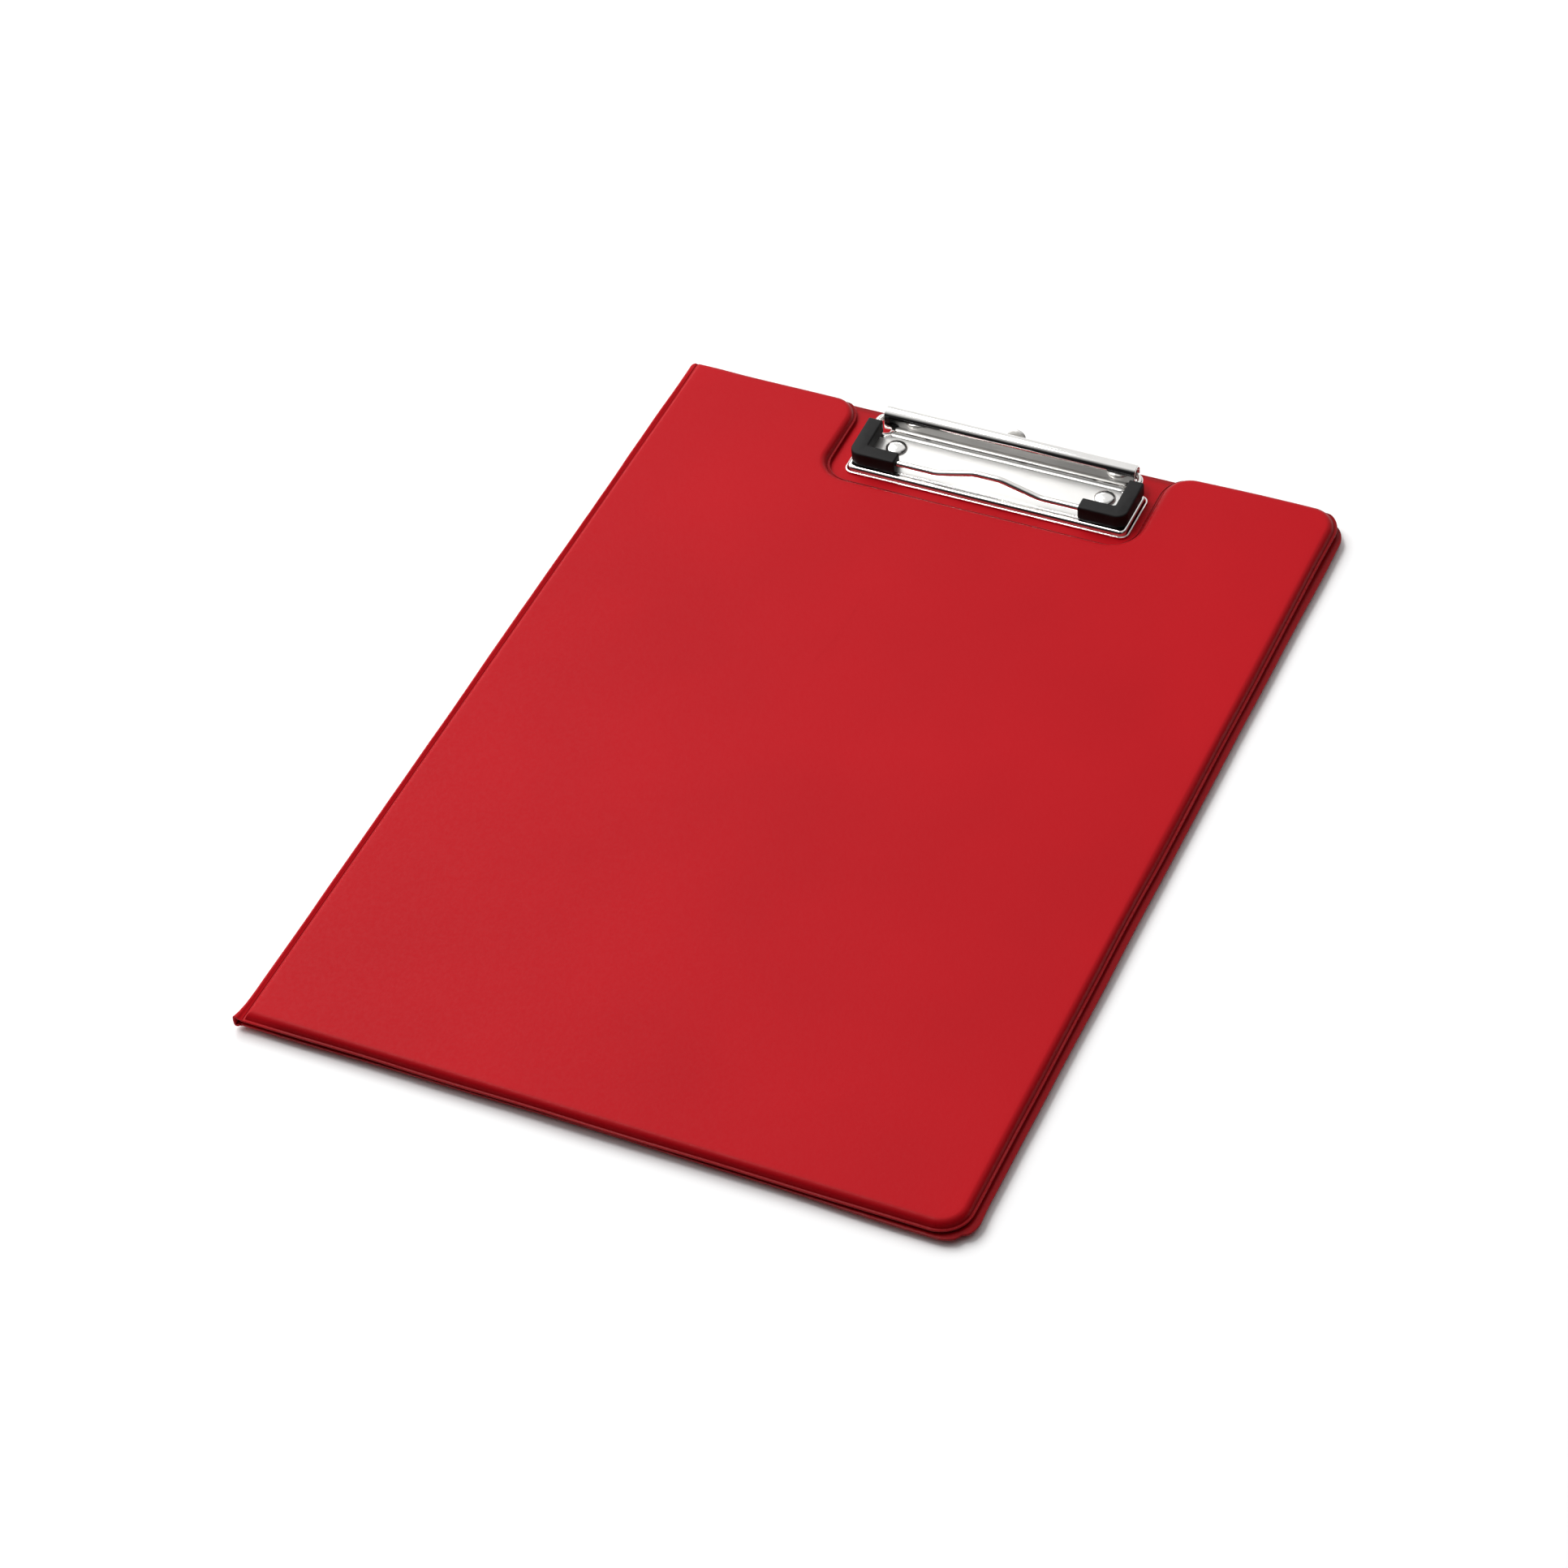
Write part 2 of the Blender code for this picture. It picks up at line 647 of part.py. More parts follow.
def build_rivets(materials):
    washer_z = WASHER_RECESS_DEPTH - WASHER_GAP - WASHER_THICKNESS
    washer_top_z = washer_z + WASHER_THICKNESS
    washer_profile = [
        (RIVET_HOLE_RADIUS, washer_z),
        (WASHER_RADIUS, washer_z),
        (WASHER_RADIUS, washer_top_z),
        (RIVET_HOLE_RADIUS, washer_top_z),
    ]
    nickel = materials["nickel"]
    objects = {}
    for side, centre in rivet_centres().items():
        rivet_name = f"rivet_{side}"
        washer_name = f"rivet_washer_{side}"
        objects[rivet_name] = turned(rivet_name, centre, rivet_profile(washer_z), nickel)
        objects[washer_name] = turned(washer_name, centre, washer_profile, nickel, ring=True)
    return objects


def build_hinge_pin(material):
    start = HINGE - Vector((PIN_HALF_LENGTH, 0, 0))
    return rod("hinge_pin", start, 2 * PIN_HALF_LENGTH, PIN_RADIUS, material)


# ---------------------------------------------------------------- clip, turning pieces


def hood_profile(radius, front_drop, rear_drop):
    """(y, z) line of the hood from the front's lower edge, over the arch, to the rear's."""
    over = arch((0.0, HOOD_ARCH_RISE), radius)
    return [(-radius, -front_drop)] + over[::-1] + [(radius, -rear_drop)]


def build_lever(material):
    outside = hood_profile(HOOD_RADIUS, HOOD_FRONT_DROP, HOOD_REAR_DROP)
    inside = hood_profile(HOOD_RADIUS - HOOD_THICKNESS, HOOD_FRONT_DROP, HOOD_REAR_DROP)
    start = HINGE - Vector((LEVER_HALF_LENGTH, 0, 0))
    hood = extruded_along_x("lever_bar", outside + inside[::-1], start, 2 * LEVER_HALF_LENGTH, material)
    smooth(hood)
    web_profile = hood_profile(HOOD_RADIUS - HOOD_THICKNESS / 2, WEB_DROP, HOOD_REAR_DROP / 2)
    for side in (-1, 1):
        for label, web_x in (("pin", PIN_WEB_X), ("wire", WIRE_WEB_X)):
            start = HINGE + Vector((side * web_x - WEB_THICKNESS / 2, 0, 0))
            web = extruded_along_x(f"{label}_web_shape_{side}", web_profile, start, WEB_THICKNESS)
            combine(hood, web, "UNION")
        combine(hood, lug_slot_cutter(side), "DIFFERENCE")
        wire_start = HINGE + Vector((side * WIRE_WEB_X - CUTTER_REACH, 0, 0))
        wire_hole = rod(f"wire_cutter_{side}", wire_start, 2 * CUTTER_REACH, WIRE_HOLE_RADIUS)
        combine(hood, wire_hole, "DIFFERENCE")
    pin_half_length = PIN_HALF_LENGTH + CUTTER_REACH
    pin_start = HINGE - Vector((pin_half_length, 0, 0))
    combine(hood, rod("web_pin_cutter", pin_start, 2 * pin_half_length, PIN_HOLE_RADIUS), "DIFFERENCE")
    return hood


def lug_slot_cutter(side):
    """A slot in the hood's rear wall, which lets the lever swing back past a lug."""
    low = HINGE + Vector((side * LUG_X - LUG_THICKNESS, HOOD_RADIUS / 2, -HOOD_FRONT_DROP))
    high = HINGE + Vector((side * LUG_X + LUG_THICKNESS, HOOD_RADIUS * 3 / 2, HOOD_ARCH_RISE))
    return block(f"lug_slot_cutter_{side}", low, high)


def wire_corners():
    """(point, radius) corners of the bail from its left end inside the lever to its right end."""
    front_left = Vector((HINGE.x - WIRE_ARM_X, WIRE_FRONT_Y, WIRE_FRONT_HEIGHT))
    wave = Vector((0, 0, WAVE_HEIGHT))
    foot = Vector((HINGE.x - WAVE_FOOT_X, WIRE_FRONT_Y, WIRE_FRONT_HEIGHT))
    crest = Vector((HINGE.x - WAVE_CREST_X, WIRE_FRONT_Y, WIRE_FRONT_HEIGHT)) + wave
    left = [
        (HINGE - Vector((WIRE_END_X, 0, 0)), 0.0),
        (HINGE - Vector((WIRE_ARM_X, 0, 0)), WIRE_REAR_RADIUS),
        (front_left, WIRE_CORNER_RADIUS),
        (foot, WAVE_RADIUS),
        (crest, WAVE_RADIUS),
    ]
    right = []
    for point, radius in reversed(left):
        right.append((Vector((2 * HINGE.x - point.x, point.y, point.z)), radius))
    return left + right


def build_wire(material):
    path = rounded_path(wire_corners())
    return swept("wire_bail", path, circle(WIRE_RADIUS, WIRE_SIDES), Vector((0, 0, 1)), material)


def rubber_section():
    """Outer and bore loops of a rubber corner, with as many points in each."""
    half = RUBBER_SIDE / 2 - RUBBER_EDGE_RADIUS
    outer = []
    for quarter, (x, y) in enumerate(((half, half), (-half, half), (-half, -half), (half, -half))):
        for step in range(RUBBER_EDGE_STEPS + 1):
            angle = math.pi / 2 * (quarter + step / RUBBER_EDGE_STEPS)
            offset = Vector((math.cos(angle), math.sin(angle))) * RUBBER_EDGE_RADIUS
            outer.append(Vector((x, y)) + offset)
    half_step = math.pi / len(outer)
    return outer, circle(RUBBER_BORE_RADIUS, len(outer), half_step)


def build_rubber_corner(name, side, material):
    """An L-shaped sleeve round one front corner of the bail."""
    corner = Vector((HINGE.x + side * WIRE_ARM_X, WIRE_FRONT_Y, WIRE_FRONT_HEIGHT))
    rear = Vector((corner.x, HINGE.y, HINGE.z))
    arm_end = corner + (rear - corner).normalized() * RUBBER_ARM_LENGTH
    front_end = corner - Vector((side * RUBBER_FRONT_LENGTH, 0, 0))
    path = rounded_path([(arm_end, 0.0), (corner, WIRE_CORNER_RADIUS), (front_end, 0.0)])
    outer_section, bore_section = rubber_section()
    up = Vector((0, 0, 1))
    outer = swept_loops(path, outer_section, up)
    bore = swept_loops(path, bore_section, up)
    sleeve = loft(name, outer + bore[::-1], material, ring=True)
    smooth(sleeve)
    return sleeve


def build_spring(name, side, material):
    """A torsion spring: a coil round the pin, a leg down to the plate and a leg up to the hood."""
    coil_start = HINGE + Vector((side * SPRING_INNER_X, 0, 0))
    points = [coil_start + Vector((0, -SPRING_COIL_RADIUS, -SPRING_LOWER_LEG))]
    half_turns = 2 * SPRING_TURNS + 1
    for step in range(half_turns * COIL_STEPS // 2 + 1):
        angle = math.pi - math.tau * step / COIL_STEPS
        along = side * SPRING_PITCH * step / COIL_STEPS
        radial = Vector((0, math.cos(angle), math.sin(angle))) * SPRING_COIL_RADIUS
        points.append(coil_start + Vector((along, 0, 0)) + radial)
    points.append(points[-1] + Vector((0, 0, -SPRING_UPPER_LEG)))
    section = circle(SPRING_WIRE_RADIUS, SPRING_SIDES)
    return swept(name, points, section, Vector((1, 0, 0)), material)


def build_lever_assembly(materials):
    nickel = materials["nickel"]
    objects = {
        "lever_bar": build_lever(nickel),
        "wire_bail": build_wire(nickel),
    }
    for label, side in (("left", -1), ("right", 1)):
        corner_name = f"rubber_corner_{label}"
        spring_name = f"torsion_spring_{label}"
        objects[corner_name] = build_rubber_corner(corner_name, side, materials["rubber"])
        objects[spring_name] = build_spring(spring_name, side, materials["spring_steel"])
    return objects


def build():
    clear_scene()
    materials = make_materials()
    objects = build_covers(materials)
    objects["clip_base_plate"] = build_base_plate(materials["nickel"])
    objects.update(build_rivets(materials))
    cut_rivet_holes(objects)
    objects["hinge_pin"] = build_hinge_pin(materials["spring_steel"])
    spine = build_spine(materials)
    front = [obj for name, obj in objects.items() if name.startswith("front_")]
    lever = build_lever_assembly(materials)

    spine_axis = add_axis("spine_fold_axis", SPINE_FOLD)
    cover_axis = add_axis("cover_fold_axis", COVER_FOLD, spine_axis)
    clip_axis = add_axis("clip_open_axis", HINGE)
    hang_on_axis(spine.values(), spine_axis, SPINE_FOLD)
    hang_on_axis(front, cover_axis, COVER_FOLD)
    hang_on_axis(lever.values(), clip_axis, HINGE)


build()
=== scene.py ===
"""Fold-over clipboard: the finished look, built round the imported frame.

Metres, in the frame's own axes: +X from the spine to the free edge, +Y towards the clip, +Z up.
Film covers, spine film and every clip piece are fine meshes that stand for the plain CAD solids.
"""

import json
import math

import bmesh
import bpy
import numpy as np
from mathutils import Matrix, Vector, geometry, noise


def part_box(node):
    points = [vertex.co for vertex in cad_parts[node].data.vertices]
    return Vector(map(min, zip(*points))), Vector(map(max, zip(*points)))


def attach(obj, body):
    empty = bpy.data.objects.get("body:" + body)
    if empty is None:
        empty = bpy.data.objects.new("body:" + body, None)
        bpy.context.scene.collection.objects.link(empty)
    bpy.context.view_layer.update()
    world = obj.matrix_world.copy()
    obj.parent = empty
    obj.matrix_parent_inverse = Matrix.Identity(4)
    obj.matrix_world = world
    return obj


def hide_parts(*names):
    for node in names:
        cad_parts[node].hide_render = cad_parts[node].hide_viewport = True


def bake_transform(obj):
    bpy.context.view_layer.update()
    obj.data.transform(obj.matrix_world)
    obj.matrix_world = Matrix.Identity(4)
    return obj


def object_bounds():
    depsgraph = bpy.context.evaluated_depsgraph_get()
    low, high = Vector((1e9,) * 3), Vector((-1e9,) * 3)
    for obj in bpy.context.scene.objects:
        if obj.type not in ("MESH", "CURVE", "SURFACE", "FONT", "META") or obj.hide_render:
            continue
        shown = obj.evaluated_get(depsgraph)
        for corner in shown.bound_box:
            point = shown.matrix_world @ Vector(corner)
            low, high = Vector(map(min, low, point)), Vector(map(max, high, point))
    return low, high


MM = 0.001

# Covers: the film's dome over a board's edge, from the welded flange up to the crown.
FILM = 0.35 * MM
FLANGE_WIDTH = 0.85 * MM
EDGE_WIDTH = 3.6 * MM
SLOPE_TOP_INSET = 2.05 * MM
SHOULDER_RADIUS = 2.4 * MM
FOOT_RADIUS = 0.3 * MM
DOME_STEPS = 9
CROWN_MARGIN = 1.2 * MM
WELD_RADIUS = 0.2 * MM
WELD_SINK = 0.03 * MM
WELD_TURN = 0.85 * math.pi
WELD_STEPS = 5

# Covers: outlines.
FREE_CORNER_RADIUS = 10.0 * MM
SPINE_CORNER_RADIUS = 0.9 * MM
NOTCH_INNER_RADIUS = 9.0 * MM
NOTCH_MOUTH_RADIUS = 10.0 * MM
NOTCH_LEFT_CLEARANCE = 5.6 * MM
NOTCH_RIGHT_CLEARANCE = 2.7 * MM
NOTCH_FLOOR_CLEARANCE = 4.0 * MM
SPINE_GAP = 0.65 * MM

# Covers: the linings, pressed thin along the weld.
LINING_SET_BACK = 0.3 * MM
LINING_PRESS = 0.1 * MM
LINING_EDGE_RADIUS = 0.12 * MM
LINING_EDGE_DROP = 0.05 * MM
LINING_RAMP = (0.3 * MM, 0.8 * MM, 1.6 * MM)
LINING_RAMP_SHARE = 0.3

# Covers: how far the soft film strays from a true surface. A seed picks a part of the noise.
CROWN_WAVE = 0.07 * MM
LINING_WAVE = 0.4
POCKET_WAVE = 0.3
CROWN_WAVE_LENGTH = 45.0 * MM
FLANGE_LIFT = 0.3 * MM
BACK_HANGING = 0.5
FLANGE_WANDER = 0.35 * MM
FLANGE_WAVE_LENGTH = 38.0 * MM
FRONT_SEED = 1.3
BACK_SEED = 5.9
POCKET_SEED = 8.2
LIFT_SEED_STEP = 3.7
FRONT_STRAY_SEED = 10.4
BACK_STRAY_SEED = 15.0
LOOSE_WIDTH = 0.8 * EDGE_WIDTH
SPINE_STIFF_WIDTH = 4.0 * MM
SPINE_STIFF_FADE = 12.0 * MM

# Back cover: its bottom edge runs short in the middle and long at the free corner, which has a tuck.
BACK_STRAY_OUT = 1.0 * MM
BACK_STRAY_IN = 0.7 * MM
BACK_STRAY_FADE = 16.0 * MM
TUCK_DEPTH = 0.75 * MM
TUCK_WIDTH = 1.3 * MM
TUCK_FROM_CORNER = Vector((-3.0 * MM, 2.7 * MM))

# Front cover: how far its top weld is squeezed outwards, more so past the clip.
TOP_SQUEEZE = 1.0 * MM
TOP_SQUEEZE_START = 1.8 * MM
TOP_SQUEEZE_FADE = 22.0 * MM
FREE_PUSH = 0.9 * MM
FREE_PUSH_RUN = 85.0 * MM

# Pocket inside the front cover.
POCKET_CORNER_RADIUS = 6.0 * MM
POCKET_LOW_MOUTH = 0.42

# Spine: the film loop between the covers, and the covers' section beside it.
SPINE_FILM = 0.5 * MM
SPINE_WELD_X = 1.52 * MM
SPINE_WELD_SINK = 0.16 * MM
SPINE_WELD_THINNING = 3
SPINE_LEG_HEIGHT = 1.3 * MM
SPINE_BEND_X = 0.8 * MM
SPINE_LOOP_WIDTH = 0.1 * MM
SPINE_BULGE = 0.4 * MM
SPINE_STEPS = 10
SPINE_SPACING = 3.0 * MM
SPINE_END_STATIONS = (0.15 * MM, 0.45 * MM, 0.9 * MM, 1.5 * MM, 2.2 * MM)
SPINE_END_RADIUS = 1.2 * MM
SPINE_FLARE = 1.1 * MM
SPINE_FLARE_BULGE = 0.5 * MM
SPINE_FLARE_LENGTH = 4.5 * MM
SPINE_WANDER = 0.25 * MM
SPINE_WAVE_LENGTH = 60.0 * MM
SPINE_SEED = 2.2
SPINE_FINE_SEED = 6.4
SPINE_FOOT_SHIFT = 0.8 * MM
SPINE_FOOT_RUN = 2.4 * MM

# Mesh fineness.
OUTLINE_SPACING = 3.0 * MM
FILL_SPACING = 5.0 * MM
FILL_MARGIN = 0.6
CORNER_STEPS = 10
FILM_CORNER_STEPS = 20
SECTION_STEPS = 5
EDGE_STEPS = 4
ROUND_SIDES = 32
WIRE_SIDES = 20
SPRING_SIDES = 10
SHARPEST_RADIUS = 0.05 * MM
SHARP_DEGREES = 35
FILM_SHARP_DEGREES = 50
METAL_SHARP_DEGREES = 40

# Clip plate.
SHEET = 0.6 * MM
PLATE_HEIGHT = 2.2 * MM
PLATE_FLANGE_THICKNESS = 0.6 * MM
PANEL_DROP = 0.2 * MM
GROOVE_DEPTH = 0.2 * MM
RIM_FOOT_RISE = 0.02 * MM
BEAD_DISTANCE = 4.1 * MM
BEAD_HALF_LENGTH = 41.5 * MM
BEAD_HALF_WIDTH = 1.15 * MM
BEAD_HEIGHT = 0.42 * MM
BEAD_FULLNESS = 1.5
BEAD_SINK = 0.01 * MM
BEAD_ROOT = 0.2 * MM
BEAD_END_TAPER = 0.9
BEAD_STEPS = 12
BEAD_END_STEPS = 6
PLATE_NECK_RADIUS = 1.0 * MM
PLATE_NECK_DEPTH = 7.7 * MM
PLATE_NECK_INSET = 7.0 * MM
PLATE_REAR_MARGIN = 0.3 * MM
PLATE_FRONT_MARGIN = 0.8 * MM
PLATE_CORNER_RADIUS = 3.0 * MM
UPRIGHT_FOOT_RADIUS = 0.1 * MM
HALF_ROUND_MARGIN = 0.01 * MM
LUG_X = 30.0 * MM
LUG_THICKNESS = 0.9 * MM
LUG_RADIUS = 1.9 * MM
LUG_EDGE_RADIUS = 0.15 * MM
TAB_RADIUS = 3.75 * MM
TAB_THICKNESS = 1.1 * MM
TAB_EDGE_RADIUS = 0.25 * MM
TAB_FOOT_RISE = 0.1 * MM
TAB_LEAN = 0.3
TAB_LEAN_START = 7.9 * MM
TAB_DROP = 1.5 * MM
TAB_HOLE_RADIUS = 2.0 * MM
TAB_HOLE_DROP = 4.6 * MM
TAB_HOLE_FRONT = 2.2 * MM
TAB_HOLE_REAR = 3.0 * MM

# Rivets, washers and pin.
RIVET_BORE = 1.1 * MM
RIVET_BORE_DEPTH = 1.1 * MM
RIVET_FLARE = 2.4 * MM
RIVET_ROLL = 0.35 * MM
RIVET_ROLL_STEPS = 8
RIVET_SHANK = 1.8 * MM
RIVET_SHANK_START = 0.4 * MM
RIVET_HEAD_EDGE = [(0.1 * MM, 0.02 * MM), (0.0, 0.12 * MM)]
RIVET_DOME_RISE = 0.18 * MM
RIVET_DOME_INSET = 0.04 * MM
RIVET_DOME_FULLNESS = 0.85
RIVET_DOME_STEPS = 14
WASHER_BORE = 2.05 * MM
WASHER_EDGE = 0.12 * MM
WASHER_RECESS_RADIUS = 4.3 * MM
WASHER_RECESS_DEPTH = 1.1 * MM
PIN_EDGE_RADIUS = 0.25 * MM

# Turning parts of the clip.
WIRE_RADIUS = 1.1 * MM
WIRE_CORNER_RADIUS = 3.6 * MM
WIRE_REAR_RADIUS = 3.0 * MM
WAVE_FOOT_X = 18.0 * MM
WAVE_CREST_X = 4.6 * MM
WAVE_RADIUS = 12.0 * MM
WIRE_END_X = 38.0 * MM
WIRE_BORE_CLEARANCE = 0.1 * MM
RUBBER_SIDE = 5.1 * MM
RUBBER_CORNER_RADIUS = 3.8 * MM
RUBBER_INNER_RADIUS = 0.7 * MM
RUBBER_END_RADIUS = 0.5 * MM
RUBBER_EDGE_RADIUS = 0.6 * MM
RUBBER_BORE_CLEARANCE = 0.08 * MM
HOOD_THICKNESS = 0.7 * MM
HOOD_EDGE_RADIUS = 0.18 * MM
HOOD_REAR_DROP = 0.6 * MM
HOOD_STEPS = 32
PIN_WEB_X = 31.6 * MM
PIN_BORE_CLEARANCE = 0.1 * MM
WIRE_WEB_X = 41.0 * MM
WEB_THICKNESS = 0.8 * MM
WEB_DROP = 1.5 * MM
SPRING_WIRE_RADIUS = 0.25 * MM
SPRING_COIL_RADIUS = 1.5 * MM
SPRING_PITCH = 0.9 * MM
SPRING_TURNS = 5
SPRING_INNER_X = 20.0 * MM
SPRING_LOWER_LEG = 2.9 * MM
SPRING_UPPER_LEG = 1.4 * MM
COIL_STEPS = 24

# Grains: (waves per metre, detail, height, strength) of the noise that a surface is bumped with.
FILM_PEBBLE = (900.0, 3.0, 0.05 * MM, 0.7)
FILM_GRAIN = (2600.0, 2.0, 0.03 * MM, 0.35)
METAL_DENTS = (60.0, 1.0, 0.06 * MM, 0.5)
METAL_MARKS = (900.0, 3.0, 0.002 * MM, 0.25)

# Blotches: (waves per metre, detail) of the noise that a colour or a roughness varies with.
FILM_BLOTCH = (14.0, 4.0)
METAL_HAZE = (120.0, 4.0)

# Colours, roughnesses from low to high, and what the film's edge zone and satin metal add to them. The edge
# zone, its "stretch", is glossier and darkened with painted shade for its shaded slopes.
RED = (0.435, 0.0035, 0.0085)
DEEP_RED = (0.40, 0.003, 0.0075)
FILM_ROUGHNESS = (0.40, 0.52)
FILM_SPECULAR = 0.062
PAINTED_SLOPE_SHADE = 0.58
STRETCH_GLOSS = 0.16
STRETCH_SPECULAR = 0.03
# How much of the edge zone's painted shade and gloss the spine film and the covers' spine side get.
SPINE_SHADE_AND_GLOSS = 0.05
SPINE_SIDE_SHADE_AND_GLOSS = 0.25
HAZE_TINT = 0.93
SATIN_MATTNESS = 0.12
SATIN_ROUGHNESS = 0.3
SATIN_SHADE = 0.80
RIVET_SATIN = 0.3
WIRE_SATIN = 0.35

# Camera, in degrees, metres and millimetres of lens and sensor.
CAMERA_AZIMUTH = 28.32
CAMERA_ELEVATION = 44.91
CAMERA_ROLL = -5.64
CAMERA_DISTANCE = 1.4095
CAMERA_NEAREST = 0.05
CAMERA_LENS = 105.26
CAMERA_SENSOR = 36.0
CAMERA_AIM = Vector((-4.05 * MM, -15.07 * MM, 0.0))

# Studio: the world is brightest towards STUDIO_BRIGHT_SIDE. Its stops are (cosine to that side, grey).
STUDIO_BRIGHT_SIDE = Vector((-0.52, 0.52, 0.68)).normalized()
STUDIO_STOPS = [
    (0.12, (0.011, 0.0105, 0.011, 1)),
    (0.34, (0.25, 0.25, 0.25, 1)),
    (0.62, (0.95, 0.95, 0.95, 1)),
]
# Lamps: name, place, (width, height) and power in watts.
LAMPS = [
    ("key", Vector((-1.55, 0.85, 1.75)), (1.9, 1.5), 42.0),
    ("top", Vector((-0.75, 0.05, 2.1)), (0.5, 0.5), 12.0),
    ("fill", Vector((1.2, -0.6, 1.8)), (1.2, 1.2), 1.5),
]
FLOOR_HALF_SIZE = 6.0
FLOOR_GAP = 0.2 * MM

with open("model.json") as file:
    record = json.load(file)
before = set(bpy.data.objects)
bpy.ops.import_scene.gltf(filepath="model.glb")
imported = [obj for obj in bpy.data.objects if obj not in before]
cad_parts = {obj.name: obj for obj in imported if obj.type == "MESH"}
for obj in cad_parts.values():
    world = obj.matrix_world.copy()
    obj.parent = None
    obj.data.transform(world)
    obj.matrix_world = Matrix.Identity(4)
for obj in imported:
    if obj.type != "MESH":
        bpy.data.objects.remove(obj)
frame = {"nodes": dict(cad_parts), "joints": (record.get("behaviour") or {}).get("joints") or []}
cad_low, cad_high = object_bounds()

JOINT_POINT = {joint["name"]: Vector(joint["pos_m"]) for joint in frame["joints"]}
HINGE = JOINT_POINT["clip_open"]
FRONT_LOW, FRONT_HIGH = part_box("front_outer_skin")
BACK_LOW, BACK_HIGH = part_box("back_outer_skin")
PLATE_LOW, PLATE_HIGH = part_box("clip_base_plate")

# Places on the top edge where the front cover's film stands up: x, height, reach and the crown's share.
CORNER_LIFTS = [
    (FRONT_LOW.x + 7 * MM, 0.9 * MM, 11 * MM, 0.0),
    (FRONT_HIGH.x - 22 * MM, 0.9 * MM, 42 * MM, 1.0),
]


# ---------------- node materials


def add_node(tree, kind, values=None, **settings):
    node = tree.nodes.new(kind)
    for name, value in settings.items():
        setattr(node, name, value)
    for name, value in (values or {}).items():
        node.inputs[name].default_value = value
    return node


def new_material(name):
    """A material and its node tree, with only the Principled shader and the output in it."""
    material = bpy.data.materials.new(name)
    material.use_nodes = True
    return material, material.node_tree, material.node_tree.nodes["Principled BSDF"]


def noise_value(tree, scale, detail, stretch=(1, 1, 1)):
    """A noise on the object's own coordinates. Scale is in waves per metre."""
    coordinates = add_node(tree, "ShaderNodeTexCoord")
    mapping = add_node(tree, "ShaderNodeMapping", {"Scale": stretch})
    texture = add_node(tree, "ShaderNodeTexNoise", {"Scale": scale, "Detail": detail})
    tree.links.new(coordinates.outputs["Object"], mapping.inputs["Vector"])
    tree.links.new(mapping.outputs["Vector"], texture.inputs["Vector"])
    return texture.outputs["Fac"]


def ranged(tree, source, low=0.0, high=1.0):
    """The source value remapped from the usual range of a noise to low..high."""
    limits = {"From Min": 0.3, "From Max": 0.7, "To Min": low, "To Max": high}
    node = add_node(tree, "ShaderNodeMapRange", limits)
    tree.links.new(source, node.inputs["Value"])
    return node.outputs["Result"]


def mixed_color(tree, factor, first, second):
    """The first colour where factor is 0, and the second where it is 1. The first may be a socket."""
    node = add_node(tree, "ShaderNodeMix", data_type="RGBA")
    if isinstance(first, tuple):
        node.inputs[6].default_value = (*first, 1.0)
    else:
        tree.links.new(first, node.inputs[6])
    node.inputs[7].default_value = (*second, 1.0)
    tree.links.new(factor, node.inputs[0])
    return node.outputs[2]


def bump(tree, value, grain, share=1.0, normal=None):
    """The normal that a noise value gives with a grain's height and a share of its strength."""
    _, _, height, strength = grain
    node = add_node(tree, "ShaderNodeBump", {"Distance": height, "Strength": strength * share})
    tree.links.new(value, node.inputs["Height"])
    if normal:
        tree.links.new(normal, node.inputs["Normal"])
    return node.outputs["Normal"]


def scaled(tree, source, factor, offset=0.0):
    """source * factor + offset."""
    node = add_node(tree, "ShaderNodeMath", operation="MULTIPLY_ADD")
    node.inputs[1].default_value = factor
    node.inputs[2].default_value = offset
    tree.links.new(source, node.inputs[0])
    return node.outputs[0]


def summed(tree, first, second):
    node = add_node(tree, "ShaderNodeMath", operation="ADD")
    tree.links.new(first, node.inputs[0])
    tree.links.new(second, node.inputs[1])
    return node.outputs[0]


def shaded(color, share):
    return tuple(channel * share for channel in color)


def film_material(name, base, deep, share=1.0):
    """Calendered PVC film: a fine matt grain, glossier where the mesh's "stretch" is high, and darker there
    with painted shade for the shaded slopes of its edge.
    """
    material, tree, shader = new_material(name)
    pebble = noise_value(tree, *FILM_PEBBLE[:2])
    grain = noise_value(tree, *FILM_GRAIN[:2])
    blotch = ranged(tree, noise_value(tree, *FILM_BLOTCH))
    # The "stretch" attribute marks the film's edge zone: there the film is glossier, and its colour darkens
    # towards painted shade, which stands in for the shade on the edge slopes.
    stretch = add_node(tree, "ShaderNodeAttribute", attribute_name="stretch").outputs["Fac"]
    color = mixed_color(tree, stretch, mixed_color(tree, blotch, base, deep), shaded(deep, PAINTED_SLOPE_SHADE))
    tree.links.new(color, shader.inputs["Base Color"])
    rough = summed(tree, ranged(tree, pebble, *FILM_ROUGHNESS), scaled(tree, stretch, -STRETCH_GLOSS))
    tree.links.new(rough, shader.inputs["Roughness"])
    shine = scaled(tree, stretch, STRETCH_SPECULAR, FILM_SPECULAR)
    tree.links.new(shine, shader.inputs["Specular IOR Level"])
    normal = bump(tree, grain, FILM_GRAIN, share, bump(tree, pebble, FILM_PEBBLE, share))
    tree.links.new(normal, shader.inputs["Normal"])
    return material


